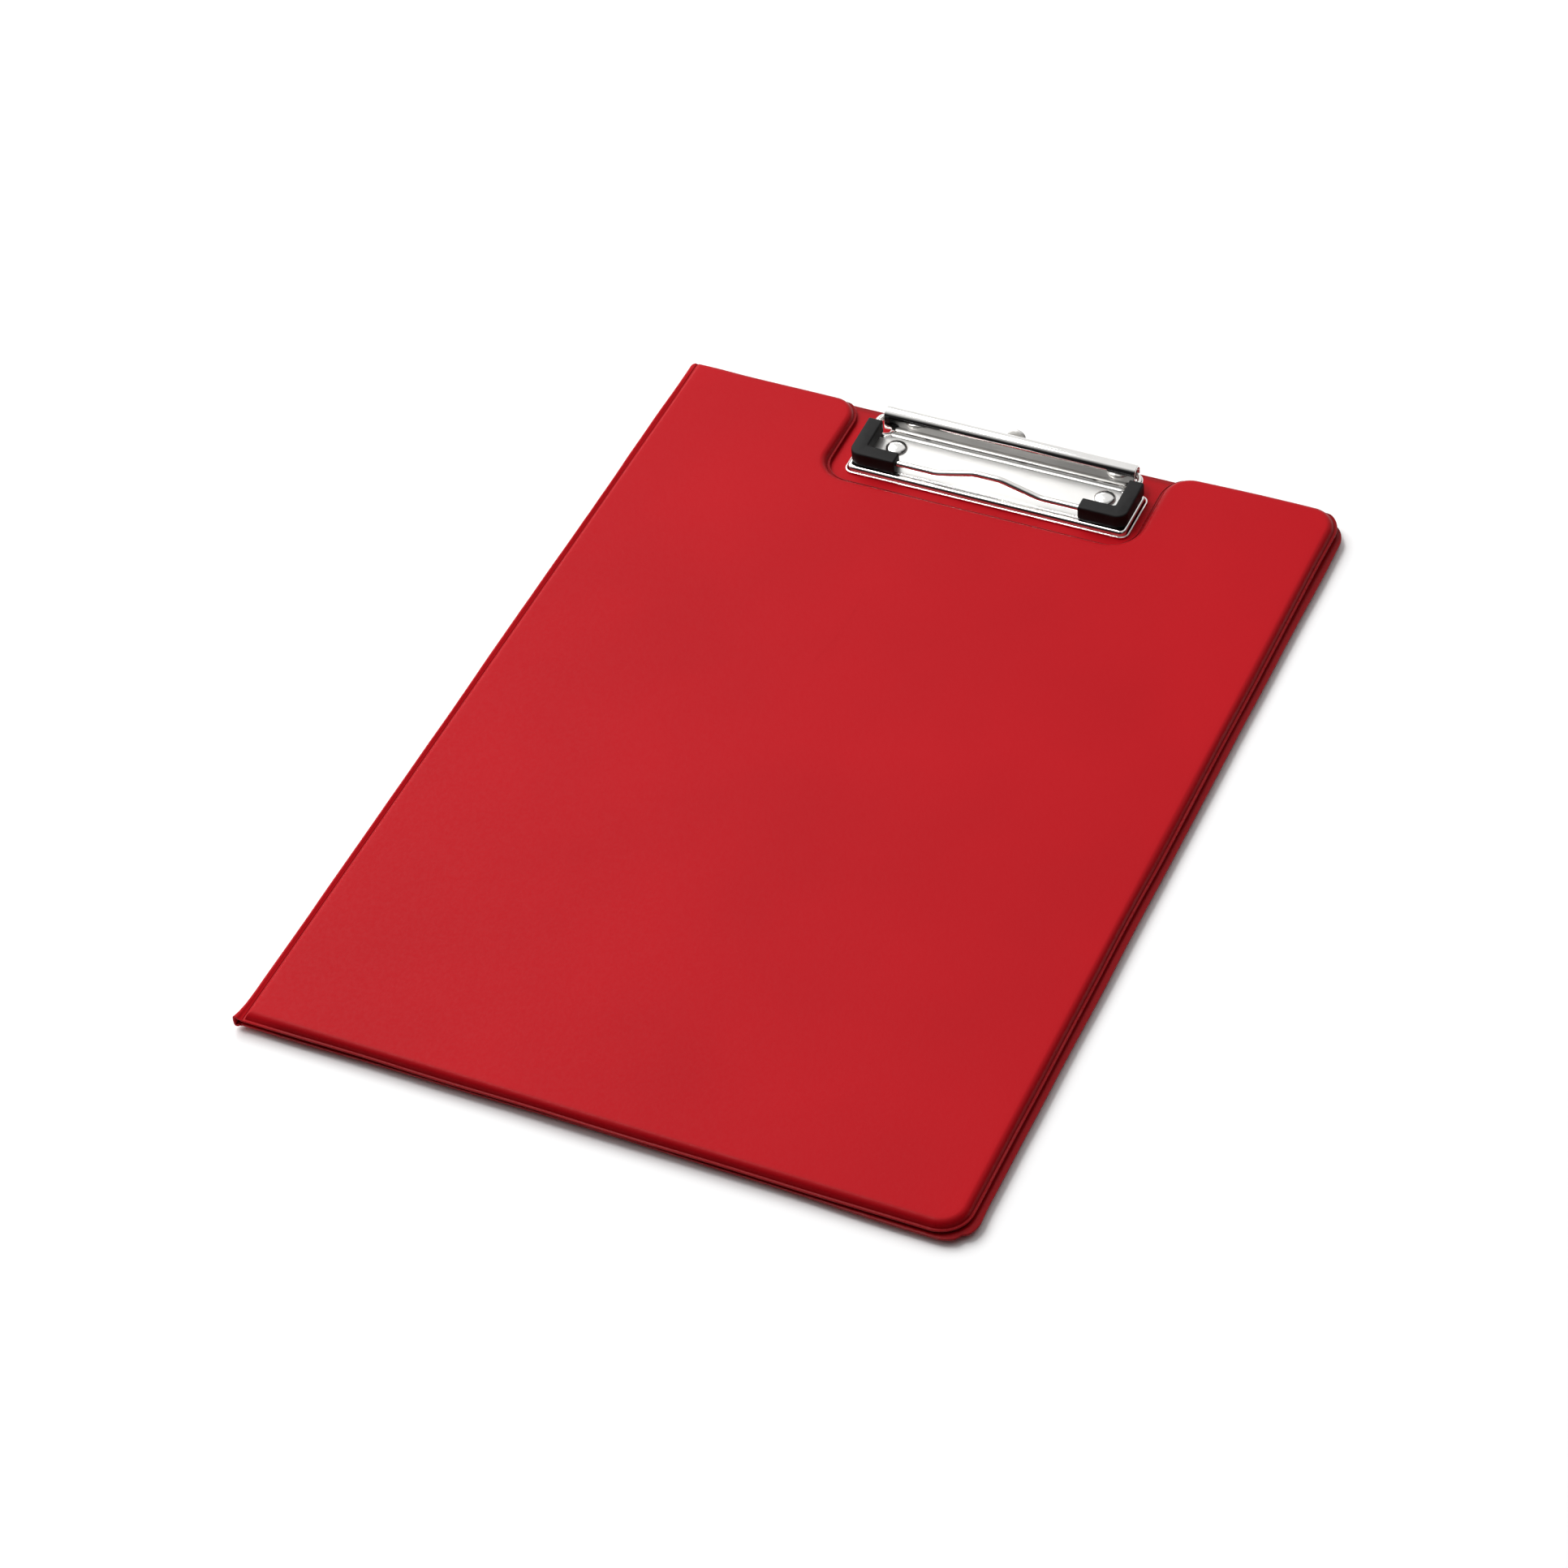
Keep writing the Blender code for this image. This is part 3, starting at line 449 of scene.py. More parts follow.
def metal_material(name, color, roughness):
    """Plated or drawn metal: mirror-like, with faint drawing marks along X and a slight haze.

    Where a mesh has a "satin" attribute, the plating is brushed to a pale matt finish.
    """
    material, tree, shader = new_material(name)
    satin = add_node(tree, "ShaderNodeAttribute", attribute_name="satin").outputs["Fac"]
    tree.links.new(scaled(tree, satin, -SATIN_MATTNESS, 1.0), shader.inputs["Metallic"])
    haze = noise_value(tree, *METAL_HAZE)
    clean = mixed_color(tree, ranged(tree, haze), color, shaded(color, HAZE_TINT))
    finish = mixed_color(tree, satin, clean, shaded(color, SATIN_SHADE))
    tree.links.new(finish, shader.inputs["Base Color"])
    rough = summed(tree, ranged(tree, haze, *roughness), scaled(tree, satin, SATIN_ROUGHNESS))
    tree.links.new(rough, shader.inputs["Roughness"])
    dented = bump(tree, noise_value(tree, *METAL_DENTS[:2]), METAL_DENTS)
    marks = noise_value(tree, *METAL_MARKS[:2], stretch=(0.03, 1, 1))
    tree.links.new(bump(tree, marks, METAL_MARKS, normal=dented), shader.inputs["Normal"])
    return material


def plain_material(name, blotch, colors, roughness, specular, grain=None, stretch=(1, 1, 1)):
    """A finish whose colour and roughness vary with the blotches, and which its grain makes uneven."""
    material, tree, shader = new_material(name)
    varying = noise_value(tree, *blotch, stretch)
    tree.links.new(mixed_color(tree, ranged(tree, varying), *colors), shader.inputs["Base Color"])
    tree.links.new(ranged(tree, varying, *roughness), shader.inputs["Roughness"])
    shader.inputs["Specular IOR Level"].default_value = specular
    if grain:
        normal = bump(tree, noise_value(tree, *grain[:2], stretch), grain)
        tree.links.new(normal, shader.inputs["Normal"])
    return material


OUTER_FILM = film_material("outer_film_finish", RED, DEEP_RED)
INNER_FILM = film_material("inner_film_finish", RED, DEEP_RED, share=1.3)
NICKEL = metal_material("nickel_finish", color=(0.86, 0.85, 0.83), roughness=(0.05, 0.10))
SPRING_STEEL = metal_material("spring_steel_finish", color=(0.50, 0.50, 0.51), roughness=(0.22, 0.34))
RUBBER = plain_material(
    "rubber_finish",
    blotch=(350.0, 5.0),
    colors=((0.008, 0.0077, 0.008), (0.015, 0.0145, 0.0145)),
    roughness=(0.42, 0.58),
    specular=0.12,
    grain=(3000.0, 2.0, 0.03 * MM, 0.4),
)
# Recycled greyboard, with fibres along its length.
GREYBOARD = plain_material(
    "greyboard_finish",
    blotch=(700.0, 6.0),
    colors=((0.33, 0.31, 0.28), (0.20, 0.19, 0.17)),
    roughness=(0.92, 0.92),
    specular=0.5,
    grain=(700.0, 6.0, 0.08 * MM, 0.6),
    stretch=(1, 0.35, 1),
)
FLOOR = plain_material(
    "floor",
    blotch=(5.0, 2.0),
    colors=((0.93, 0.93, 0.93), (0.92, 0.92, 0.92)),
    roughness=(0.9, 0.9),
    specular=0.1,
)


# ---------------- mesh helpers


def shade(piece, sharp_degrees):
    """Smooth shading, with creases kept where faces meet at more than the angle."""
    piece.data.shade_smooth()
    piece.data.set_sharp_from_angle(angle=math.radians(sharp_degrees))


def add_piece(name, builder, material, sharp_degrees=SHARP_DEGREES):
    """An object of the builder's faces, with smooth shading and one material."""
    bmesh.ops.recalc_face_normals(builder, faces=builder.faces)
    mesh = bpy.data.meshes.new(name)
    builder.to_mesh(mesh)
    builder.free()
    mesh.materials.append(material)
    piece = bpy.data.objects.new(name, mesh)
    shade(piece, sharp_degrees)
    bpy.context.scene.collection.objects.link(piece)
    return piece


def place(piece, body, slot, *nodes):
    """Says which CAD body the piece rides on, and hides the CAD nodes it stands for. The slot argument is
    not used.
    """
    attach(piece, body)
    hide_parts(*nodes)
    return piece


def brushed(piece, amount):
    """Marks a whole piece as brushed, by an amount up to 1, to a paler and softer plating."""
    layer = piece.data.attributes.new("satin", "FLOAT", "POINT")
    for value in layer.data:
        value.value = amount


def combine(piece, other, operation):
    """Joins or cuts the piece with a helper shape, and drops the helper."""
    modifier = piece.modifiers.new("combine", "BOOLEAN")
    modifier.operation = operation
    modifier.object = other
    graph = bpy.context.evaluated_depsgraph_get()
    mesh = bpy.data.meshes.new_from_object(piece.evaluated_get(graph))
    piece.modifiers.clear()
    piece.data = mesh
    bpy.data.objects.remove(other)


def smooth(value):
    """0 below 0, 1 above 1, and an easy curve between."""
    value = min(1.0, max(0.0, value))
    return value * value * (3 - 2 * value)


def ripple(x, y, wavelength, seed):
    """A smooth value from -1 to 1 that wanders with place."""
    return noise.noise(Vector((x / wavelength, y / wavelength, seed)))


def rounded_outline(corners, inset=0.0, spacing=None, steps=CORNER_STEPS):
    """Counter-clockwise points of a polygon of (x, y, radius) corners, moved inwards by inset.

    With a spacing, the straight stretches are divided too. Every inset gives as many points.
    """
    arcs = []
    for index, (x, y, radius) in enumerate(corners):
        here = Vector((x, y))
        arriving = (here - Vector(corners[index - 1][:2])).normalized()
        leaving = (Vector(corners[(index + 1) % len(corners)][:2]) - here).normalized()
        inward = Vector((-arriving.y, arriving.x))
        inward_after = Vector((-leaving.y, leaving.x))
        corner = here + (inward + inward_after) * inset / (1 + arriving.dot(leaving))
        turn = math.atan2(arriving.cross(leaving), arriving.dot(leaving))
        side = math.copysign(1.0, turn)
        moved = max(radius - side * inset, SHARPEST_RADIUS)
        centre = corner - arriving * moved * math.tan(abs(turn) / 2) + inward * moved * side
        start = -inward * moved * side
        turns = [Matrix.Rotation(turn * step / steps, 2) for step in range(steps + 1)]
        arcs.append([centre + turned_by @ start for turned_by in turns])
    points = []
    for index, arc in enumerate(arcs):
        points += arc
        if spacing:
            here = Vector(corners[index][:2])
            after = Vector(corners[(index + 1) % len(corners)][:2])
            count = int((after - here).length / spacing)
            following = arcs[(index + 1) % len(arcs)][0]
            points += [arc[-1].lerp(following, step / count) for step in range(1, count)]
    return points


def rounded_path(corners, steps=CORNER_STEPS):
    """Points along an open path of (point, radius) corners, with each bend rounded."""
    points = [Vector(corners[0][0])]
    for (before, _), (here, radius), (after, _) in zip(corners, corners[1:], corners[2:]):
        here = Vector(here)
        arriving = (here - Vector(before)).normalized()
        leaving = (Vector(after) - here).normalized()
        turn = arriving.angle(leaving)
        if radius == 0 or turn < 1e-4:
            points.append(here)
            continue
        centre = here + (leaving - arriving).normalized() * radius / math.cos(turn / 2)
        start = here - arriving * radius * math.tan(turn / 2) - centre
        axis = arriving.cross(leaving)
        for step in range(steps + 1):
            points.append(centre + Matrix.Rotation(turn * step / steps, 3, axis) @ start)
    points.append(Vector(corners[-1][0]))
    return points


def rounded_section(corners, steps=SECTION_STEPS):
    """(inset, z) points of a profile of (inset, z, radius) corners."""
    bends = [(Vector((inset, 0, z)), radius) for inset, z, radius in corners]
    return [(point.x, point.z) for point in rounded_path(bends, steps)]


def half_round(radius, foot, top):
    """(x, y, radius) corners of an upright with a half-round top."""
    top_radius = radius - HALF_ROUND_MARGIN
    return [
        (-radius, foot, UPRIGHT_FOOT_RADIUS),
        (radius, foot, UPRIGHT_FOOT_RADIUS),
        (radius, top, top_radius),
        (-radius, top, top_radius),
    ]


def circle(radius, sides):
    angles = [math.tau * step / sides for step in range(sides)]
    return [Vector((radius * math.cos(angle), radius * math.sin(angle))) for angle in angles]


def bridge(builder, first, second):
    """Faces between two closed loops of vertices."""
    for index in range(len(first)):
        following = (index + 1) % len(first)
        builder.faces.new((first[index], first[following], second[following], second[index]))


def bridge_all(builder, rows):
    for first, second in zip(rows, rows[1:]):
        bridge(builder, first, second)


def loft(builder, loops, ring=False):
    """Walls and end caps through loops of equally many points. A ring closes on its first loop."""
    rows = [[builder.verts.new(point) for point in loop] for loop in loops]
    bridge_all(builder, rows)
    if ring:
        bridge(builder, rows[-1], rows[0])
    else:
        builder.faces.new(rows[0])
        builder.faces.new(rows[-1])
    return rows


def lofted(name, loops, material, ring=False, sharp_degrees=SHARP_DEGREES):
    builder = bmesh.new()
    loft(builder, loops, ring)
    return add_piece(name, builder, material, sharp_degrees)


def slab(name, corners, levels, material, place_point):
    """A plate from one outline at a run of (inset, height) levels, put in place by place_point."""
    loops = []
    for inset, height in levels:
        outline = rounded_outline(corners, inset)
        loops.append([place_point(point.x, point.y, height) for point in outline])
    return lofted(name, loops, material)


def edged_levels(low, high, radius, steps=EDGE_STEPS):
    """(inset, height) levels of a plate from low to high with rounded edges."""
    angles = [math.pi / 2 * step / steps for step in range(steps + 1)]
    lower = [(radius * (1 - math.sin(a)), low + radius * (1 - math.cos(a))) for a in angles]
    upper = [(radius * (1 - math.cos(a)), high - radius * (1 - math.sin(a))) for a in angles]
    return lower + upper


def turned(name, centre, profile, material, ring=False):
    """A solid of revolution about +Z through centre, from (radius, z) pairs."""
    loops = []
    for radius, z in profile:
        loops.append([centre + Vector((*point, z)) for point in circle(radius, ROUND_SIDES)])
    return lofted(name, loops, material, ring)


def path_frames(points, up):
    """(point, sideways, upwards) at each point of a path, with upwards kept near up."""
    steps = [(after - before).normalized() for before, after in zip(points, points[1:])]
    frames = []
    for point, arriving, leaving in zip(points, steps[:1] + steps, steps + steps[-1:]):
        tangent = (arriving + leaving).normalized()
        sideways = tangent.cross(up).normalized()
        frames.append((point, sideways, sideways.cross(tangent)))
    return frames


def swept(name, points, radius, sides, up, material):
    """A round wire along a path."""
    section = circle(radius, sides)
    loops = [
        [point + sideways * offset.x + upwards * offset.y for offset in section]
        for point, sideways, upwards in path_frames(points, up)
    ]
    return lofted(name, loops, material)


def rod(name, start, end, radius, material, edge=0.0):
    """A round rod along +X, with rounded ends when edge is given."""
    levels = [(0.0, start.x), (0.0, end.x)]
    if edge:
        levels = edged_levels(start.x, end.x, edge)
    loops = []
    for inset, x in levels:
        section = circle(radius - inset, ROUND_SIDES)
        loops.append([Vector((x, start.y + point.x, start.z + point.y)) for point in section])
    return lofted(name, loops, material)


# ---------------- film covers


def front_corners():
    notch_left = PLATE_LOW.x - NOTCH_LEFT_CLEARANCE
    notch_right = PLATE_HIGH.x + NOTCH_RIGHT_CLEARANCE
    notch_floor = PLATE_LOW.y - NOTCH_FLOOR_CLEARANCE
    return [
        (FRONT_LOW.x, FRONT_LOW.y, SPINE_CORNER_RADIUS),
        (FRONT_HIGH.x, FRONT_LOW.y, FREE_CORNER_RADIUS),
        (FRONT_HIGH.x, FRONT_HIGH.y, FREE_CORNER_RADIUS),
        (notch_right, FRONT_HIGH.y, NOTCH_MOUTH_RADIUS),
        (notch_right, notch_floor, NOTCH_INNER_RADIUS),
        (notch_left, notch_floor, NOTCH_INNER_RADIUS),
        (notch_left, FRONT_HIGH.y, NOTCH_MOUTH_RADIUS),
        (FRONT_LOW.x, FRONT_HIGH.y, SPINE_CORNER_RADIUS),
    ]


def back_corners():
    return [
        (BACK_LOW.x, BACK_LOW.y, SPINE_CORNER_RADIUS),
        (BACK_HIGH.x, BACK_LOW.y, FREE_CORNER_RADIUS),
        (BACK_HIGH.x, BACK_HIGH.y, FREE_CORNER_RADIUS),
        (BACK_LOW.x, BACK_HIGH.y, SPINE_CORNER_RADIUS),
    ]


def dome_section(flange_z, crown_z):
    """(inset, z) levels of a film from the middle of its outside, round the welded bead, to its inside."""
    up = math.copysign(1.0, crown_z - flange_z)
    outside = rounded_section(
        [
            (EDGE_WIDTH + CROWN_MARGIN, crown_z, 0.0),
            (SLOPE_TOP_INSET, crown_z, SHOULDER_RADIUS),
            (FLANGE_WIDTH, flange_z, FOOT_RADIUS),
            (FLANGE_WIDTH / 2, flange_z, 0.0),
        ],
        DOME_STEPS,
    )
    inside = [(0.0, flange_z - up * FILM)]
    for inset, z in reversed(outside):
        inside.append((inset + FILM / 2, z - up * FILM))
    for step in range(WELD_STEPS + 1):
        angle = WELD_TURN * step / WELD_STEPS
        inset = WELD_RADIUS * (1 + math.cos(angle))
        outside.append((inset, flange_z + up * (WELD_RADIUS * math.sin(angle) - WELD_SINK)))
    return outside + inside


def fill_loop(builder, loop, spacing, height):
    """Fills a closed loop with triangles on a grid of inner points at height(x, y)."""
    outline = np.array([vertex.co[:2] for vertex in loop])
    following = np.roll(outline, -1, axis=0)
    low, high = outline.min(0), outline.max(0)
    inner = []
    for x in np.arange(low[0] + spacing / 2, high[0], spacing):
        for y in np.arange(low[1] + spacing / 2, high[1], spacing):
            spans = (outline[:, 1] > y) != (following[:, 1] > y)
            first, second = outline[spans], following[spans]
            crossing = first[:, 0] + (y - first[:, 1]) * (second - first)[:, 0] / (second - first)[:, 1]
            inside = (crossing > x).sum() % 2 == 1
            to_outline = np.hypot(outline[:, 0] - x, outline[:, 1] - y).min()
            if inside and to_outline > FILL_MARGIN * spacing:
                inner.append(Vector((x, y)))
    coords = [vertex.co.xy for vertex in loop] + inner
    vertices = list(loop)
    for point in inner:
        vertices.append(builder.verts.new((point.x, point.y, height(point.x, point.y))))
    result = geometry.delaunay_2d_cdt(coords, [], [list(range(len(loop)))], 1, 1e-7)
    for triangle in result[2]:
        builder.faces.new([vertices[result[3][index][0]] for index in triangle])


def settled(point, looseness, crown_lift):
    """Where the front cover's film really lies: squeezed at the top weld, raised at the top corners."""
    depth = FRONT_HIGH.y - point.y
    past_clip = smooth((point.x - HINGE.x) / FREE_PUSH_RUN)
    push = TOP_SQUEEZE * smooth(depth / TOP_SQUEEZE_START) + FREE_PUSH * past_clip
    push *= 1 - smooth(depth / TOP_SQUEEZE_FADE)
    lift = 0.0
    for corner_x, height, reach, crown_share in CORNER_LIFTS:
        away = (point.xy - Vector((corner_x, FRONT_HIGH.y))).length / reach
        share = looseness + (1 - looseness) * crown_share * crown_lift
        lift += height * share * math.exp(-away * away)
    return point + Vector((0, push, lift))


def front_stray(x, y):
    """How far the front cover's welded edge strays outwards."""
    return FLANGE_WANDER * ripple(x, y, FLANGE_WAVE_LENGTH, FRONT_STRAY_SEED)


def back_stray(x, y):
    """How far the back cover's welded edge strays outwards."""
    at_bottom = 1 - smooth((y - BACK_LOW.y) / BACK_STRAY_FADE)
    across = (x - BACK_LOW.x) / (BACK_HIGH.x - BACK_LOW.x)
    drift = BACK_STRAY_OUT * smooth(2 * across - 1) - BACK_STRAY_IN * math.sin(math.pi * across) ** 2
    tuck_place = Vector((BACK_HIGH.x, BACK_LOW.y)) + TUCK_FROM_CORNER
    away = (Vector((x, y)) - tuck_place).length / TUCK_WIDTH
    tuck = TUCK_DEPTH * math.exp(-away * away)
    return drift * at_bottom - tuck + FLANGE_WANDER * ripple(x, y, FLANGE_WAVE_LENGTH, BACK_STRAY_SEED)


def foot_shift(inset):
    """How far the section moves away from the spine, where the flange is wider and the slope steeper."""
    if inset < FLANGE_WIDTH:
        return SPINE_FOOT_SHIFT * inset / FLANGE_WIDTH
    return SPINE_FOOT_SHIFT * max(0.0, 1 - (inset - FLANGE_WIDTH) / SPINE_FOOT_RUN)


def skin(
    name,
    corners,
    section,
    material,
    wave,
    seed,
    hanging=1.0,
    stray=front_stray,
    settle=None,
    crown_lift=1.0,
    at_spine=True,
):
    """A film solid: rings at the section's levels, a waved crown and a flat inside.

    The film is loose at its rim, where it strays in and out by stray and up and down by the share
    hanging, and still beside the spine. Wave is the crown's share of CROWN_WAVE. At the spine, the
    section is shifted by foot_shift and stops at the gap. Settle moves the points that it is given.
    """
    outer = rounded_outline(corners, 0.0, OUTLINE_SPACING, FILM_CORNER_STEPS)
    inner = rounded_outline(corners, MM, OUTLINE_SPACING, FILM_CORNER_STEPS)
    outwards = [(a - b).normalized() for a, b in zip(outer, inner)]
    crown_z = section[0][1]

    def crown_height(x, y):
        z = crown_z + wave * CROWN_WAVE * ripple(x, y, CROWN_WAVE_LENGTH, seed)
        return settle(Vector((x, y, z)), 0.0, crown_lift).z if settle else z

    builder = bmesh.new()
    stretch = builder.verts.layers.float.new("stretch")
    rows = []
    for inset, z in section:
        looseness = smooth(1 - inset / LOOSE_WIDTH)
        row = []
        ring = rounded_outline(corners, inset, OUTLINE_SPACING, FILM_CORNER_STEPS)
        for base, out, point in zip(outer, outwards, ring):
            from_spine = base.x - corners[0][0] - SPINE_STIFF_WIDTH
            away = min(1.0, max(0.0, from_spine / SPINE_STIFF_FADE))
            free = looseness * away
            lift = FLANGE_LIFT * ripple(base.x, base.y, FLANGE_WAVE_LENGTH, seed + LIFT_SEED_STEP) * hanging
            moved = (point + out * stray(base.x, base.y) * free).to_3d()
            moved.z = z + lift * free
            if at_spine:
                moved.x += foot_shift(inset) * (1 - away)
                moved.x = max(moved.x, FRONT_LOW.x + SPINE_GAP)
            if settle:
                moved = settle(moved, looseness, crown_lift)
            vertex = builder.verts.new(moved)
            # The "stretch" value rises across the edge zone, from the crown's edge to the flange. It makes
            # the film glossier and darkens it with painted shade, with less of both beside the spine, whose
            # side faces the lamps.
            edge_shade_and_gloss = min(1.0, max(0.0, (EDGE_WIDTH - inset) / (EDGE_WIDTH - FLANGE_WIDTH)))
            vertex[stretch] = edge_shade_and_gloss * (SPINE_SIDE_SHADE_AND_GLOSS + (1 - SPINE_SIDE_SHADE_AND_GLOSS) * away)
            row.append(vertex)
        rows.append(row)
    bridge_all(builder, rows)
    fill_loop(builder, rows[0], FILL_SPACING, crown_height)
    builder.faces.new(rows[-1])
    return add_piece(name, builder, material, FILM_SHARP_DEGREES)


def sheet_section(low, high, visible_side, set_back=0.0):
    """(inset, z) levels of a flat lining from the middle of its visible face to its hidden one."""
    face, hidden = (high, low) if visible_side > 0 else (low, high)
    pressed = face - visible_side * LINING_PRESS
    ramp_foot, ramp_top, middle = [FLANGE_WIDTH + width for width in LINING_RAMP]
    return [
        (middle, face),
        (ramp_top, face),
        (ramp_foot, face - visible_side * LINING_PRESS * LINING_RAMP_SHARE),
        (FLANGE_WIDTH, pressed),
        (set_back + LINING_EDGE_RADIUS, pressed),
        (set_back, pressed - visible_side * LINING_EDGE_DROP),
        (set_back, hidden),
        (middle, hidden),
    ]


def build_cover(side, body, corners, dome, visible_side, set_back, **film):
    """A cover's domed film and its flat lining, which stray alike. Returns the domed film."""
    domed = skin(f"{side}_cover_film", corners, dome, OUTER_FILM, **film)
    place(domed, body, "outer_film", f"{side}_outer_skin")
    low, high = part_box(f"{side}_inner_skin")
    flat = sheet_section(low.z, high.z, visible_side, set_back)
    film.update(wave=LINING_WAVE, crown_lift=0.0)
    lining = skin(f"{side}_cover_lining", corners, flat, INNER_FILM, **film)
    place(lining, body, "inner_film", f"{side}_inner_skin")
    return domed


def build_covers():
    dome = dome_section(FRONT_LOW.z + FILM, FRONT_HIGH.z)
    film = {"wave": 1.0, "seed": FRONT_SEED, "settle": settled}
    build_cover("front", "front_cover", front_corners(), dome, -1, LINING_SET_BACK, **film)
    dome = dome_section(BACK_HIGH.z - FILM, BACK_LOW.z)
    film = {"wave": 0.0, "seed": BACK_SEED, "hanging": BACK_HANGING, "stray": back_stray}
    back_film = build_cover("back", "back_board", back_corners(), dome, 1, 0.0, **film)
    for side in ("left", "right"):
        low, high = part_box(f"rivet_washer_{side}")
        centre = (low + high) / 2
        centre.z = 0
        profile = [(WASHER_RECESS_RADIUS, -MM), (WASHER_RECESS_RADIUS, WASHER_RECESS_DEPTH)]
        combine(back_film, turned("washer_recess", centre, profile, OUTER_FILM), "DIFFERENCE")


def build_pocket():
    """The inside pocket: a thin film, thinner round its welded border."""
    low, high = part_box("front_pocket")
    length = BACK_HIGH.y - BACK_LOW.y
    corners = [
        (low.x, low.y, POCKET_CORNER_RADIUS),
        (high.x, low.y, POCKET_CORNER_RADIUS),
        (high.x, BACK_LOW.y + length * POCKET_LOW_MOUTH, POCKET_CORNER_RADIUS),
        (low.x, high.y, POCKET_CORNER_RADIUS),
    ]
    section = sheet_section(low.z, high.z, -1)
    film = {"wave": POCKET_WAVE, "seed": POCKET_SEED, "hanging": 0.0, "at_spine": False}
    pocket = skin("front_cover_pocket", corners, section, INNER_FILM, **film)
    place(pocket, "front_cover", "inner_film", "front_pocket")


def spine_section(bulge):
    """The outer and the inner line, from the fold in X and the middle in Z, of half of the spine's film."""
    path = [Vector((SPINE_WELD_X, 0, SPINE_LEG_HEIGHT - SPINE_WELD_SINK))]
    for step in range(SPINE_STEPS + 1):
        angle = math.pi / 2 * step / SPINE_STEPS
        x = SPINE_BEND_X - (SPINE_BEND_X + SPINE_LOOP_WIDTH) * math.sin(angle)
        z = SPINE_LEG_HEIGHT * math.cos(angle) + bulge * math.sin(2 * angle)
        path.append(Vector((x, 0, z)))
    outside = []
    inside = []
    for index, (point, sideways, _) in enumerate(path_frames(path, Vector((0, 1, 0)))):
        half = SPINE_FILM / 2 if index else SPINE_FILM / 2 / SPINE_WELD_THINNING
        outside.append(point - sideways * half)
        inside.append(point + sideways * half)
    return outside, inside


def build_spine_half(name, up, cover_low_y, cover_high_y):
    """Half of the film loop that joins the covers. Up is 1 for the front cover's half.

    Its ends run level with its own cover's, and slant to meet the other half's at the web.
    """
    web_low_y = (FRONT_LOW.y + BACK_LOW.y) / 2
    web_high_y = (FRONT_HIGH.y + BACK_HIGH.y) / 2
    fold_x = JOINT_POINT["spine_fold"].x
    middle_z = (JOINT_POINT["spine_fold"].z + JOINT_POINT["cover_fold"].z) / 2
    builder = bmesh.new()
    stretch = builder.verts.layers.float.new("stretch")
    length = cover_high_y - cover_low_y
    count = int(length / SPINE_SPACING)
    stations = [length * step / count for step in range(count + 1)]
    for near_end in SPINE_END_STATIONS:
        stations += [near_end, length - near_end]
    rows = []
    for station in sorted(stations):
        y = cover_low_y + station
        flare = math.exp(-(station / SPINE_FLARE_LENGTH))
        rounding = max(0.0, SPINE_END_RADIUS - (length - station))
        tuck = SPINE_END_RADIUS - math.sqrt(SPINE_END_RADIUS**2 - rounding**2)
        wander = SPINE_WANDER * ripple(0.0, y, SPINE_WAVE_LENGTH, SPINE_SEED)
        wander += SPINE_WANDER / 2 * ripple(0.0, y, SPINE_WAVE_LENGTH / 4, SPINE_FINE_SEED)
        outside, inside = spine_section(SPINE_BULGE + SPINE_FLARE_BULGE * flare)
        row = []
        for point in outside + inside[::-1]:
            looseness = smooth((SPINE_WELD_X - point.x) / SPINE_WELD_X)
            x = fold_x + point.x + looseness * (wander + tuck - SPINE_FLARE * flare)
            slant = looseness * looseness
            low_y = cover_low_y + (web_low_y - cover_low_y) * slant
            high_y = cover_high_y + (web_high_y - cover_high_y) * slant
            y = low_y + (high_y - low_y) * station / length
            moved = Vector((x, y, middle_z + up * point.z))
            if up > 0:
                moved.z += (settled(moved, 1.0, 1.0).z - moved.z) * (1 - looseness)
            vertex = builder.verts.new(moved)
            # The spine's film gets a little of the painted shade and the gloss that "stretch" carries.
            vertex[stretch] = SPINE_SHADE_AND_GLOSS
            row.append(vertex)
        rows.append(row)
    bridge_all(builder, rows)
    builder.faces.new(rows[0])
    builder.faces.new(rows[-1])
    return add_piece(name, builder, OUTER_FILM, FILM_SHARP_DEGREES)


def build_spine():
    """The spine's film: each half bends from its cover's weld to the web between the folds."""
    lower = build_spine_half("spine_lower_film", -1, BACK_LOW.y, BACK_HIGH.y)
    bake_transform(lower)
    upper = build_spine_half("spine_upper_film", 1, FRONT_LOW.y, FRONT_HIGH.y)
    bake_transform(upper)
    for half, node in ((lower, "spine_outer_film"), (upper, "spine_inner_film")):
        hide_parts(node)


# ---------------- clip, fixed pieces


def plate_corners():
    neck_near = PLATE_LOW.x + PLATE_NECK_INSET
    neck_far = PLATE_HIGH.x - PLATE_NECK_INSET
    rear = PLATE_HIGH.y - PLATE_REAR_MARGIN
    shoulder = rear - PLATE_NECK_DEPTH
    front = PLATE_LOW.y + PLATE_FRONT_MARGIN
    return [
        (PLATE_LOW.x, front, PLATE_CORNER_RADIUS),
        (PLATE_HIGH.x, front, PLATE_CORNER_RADIUS),
        (PLATE_HIGH.x, shoulder, PLATE_CORNER_RADIUS),
        (neck_far, shoulder, PLATE_NECK_RADIUS),
        (neck_far, rear, PLATE_NECK_RADIUS),
        (neck_near, rear, PLATE_NECK_RADIUS),
        (neck_near, shoulder, PLATE_NECK_RADIUS),
        (PLATE_LOW.x, shoulder, PLATE_CORNER_RADIUS),
    ]


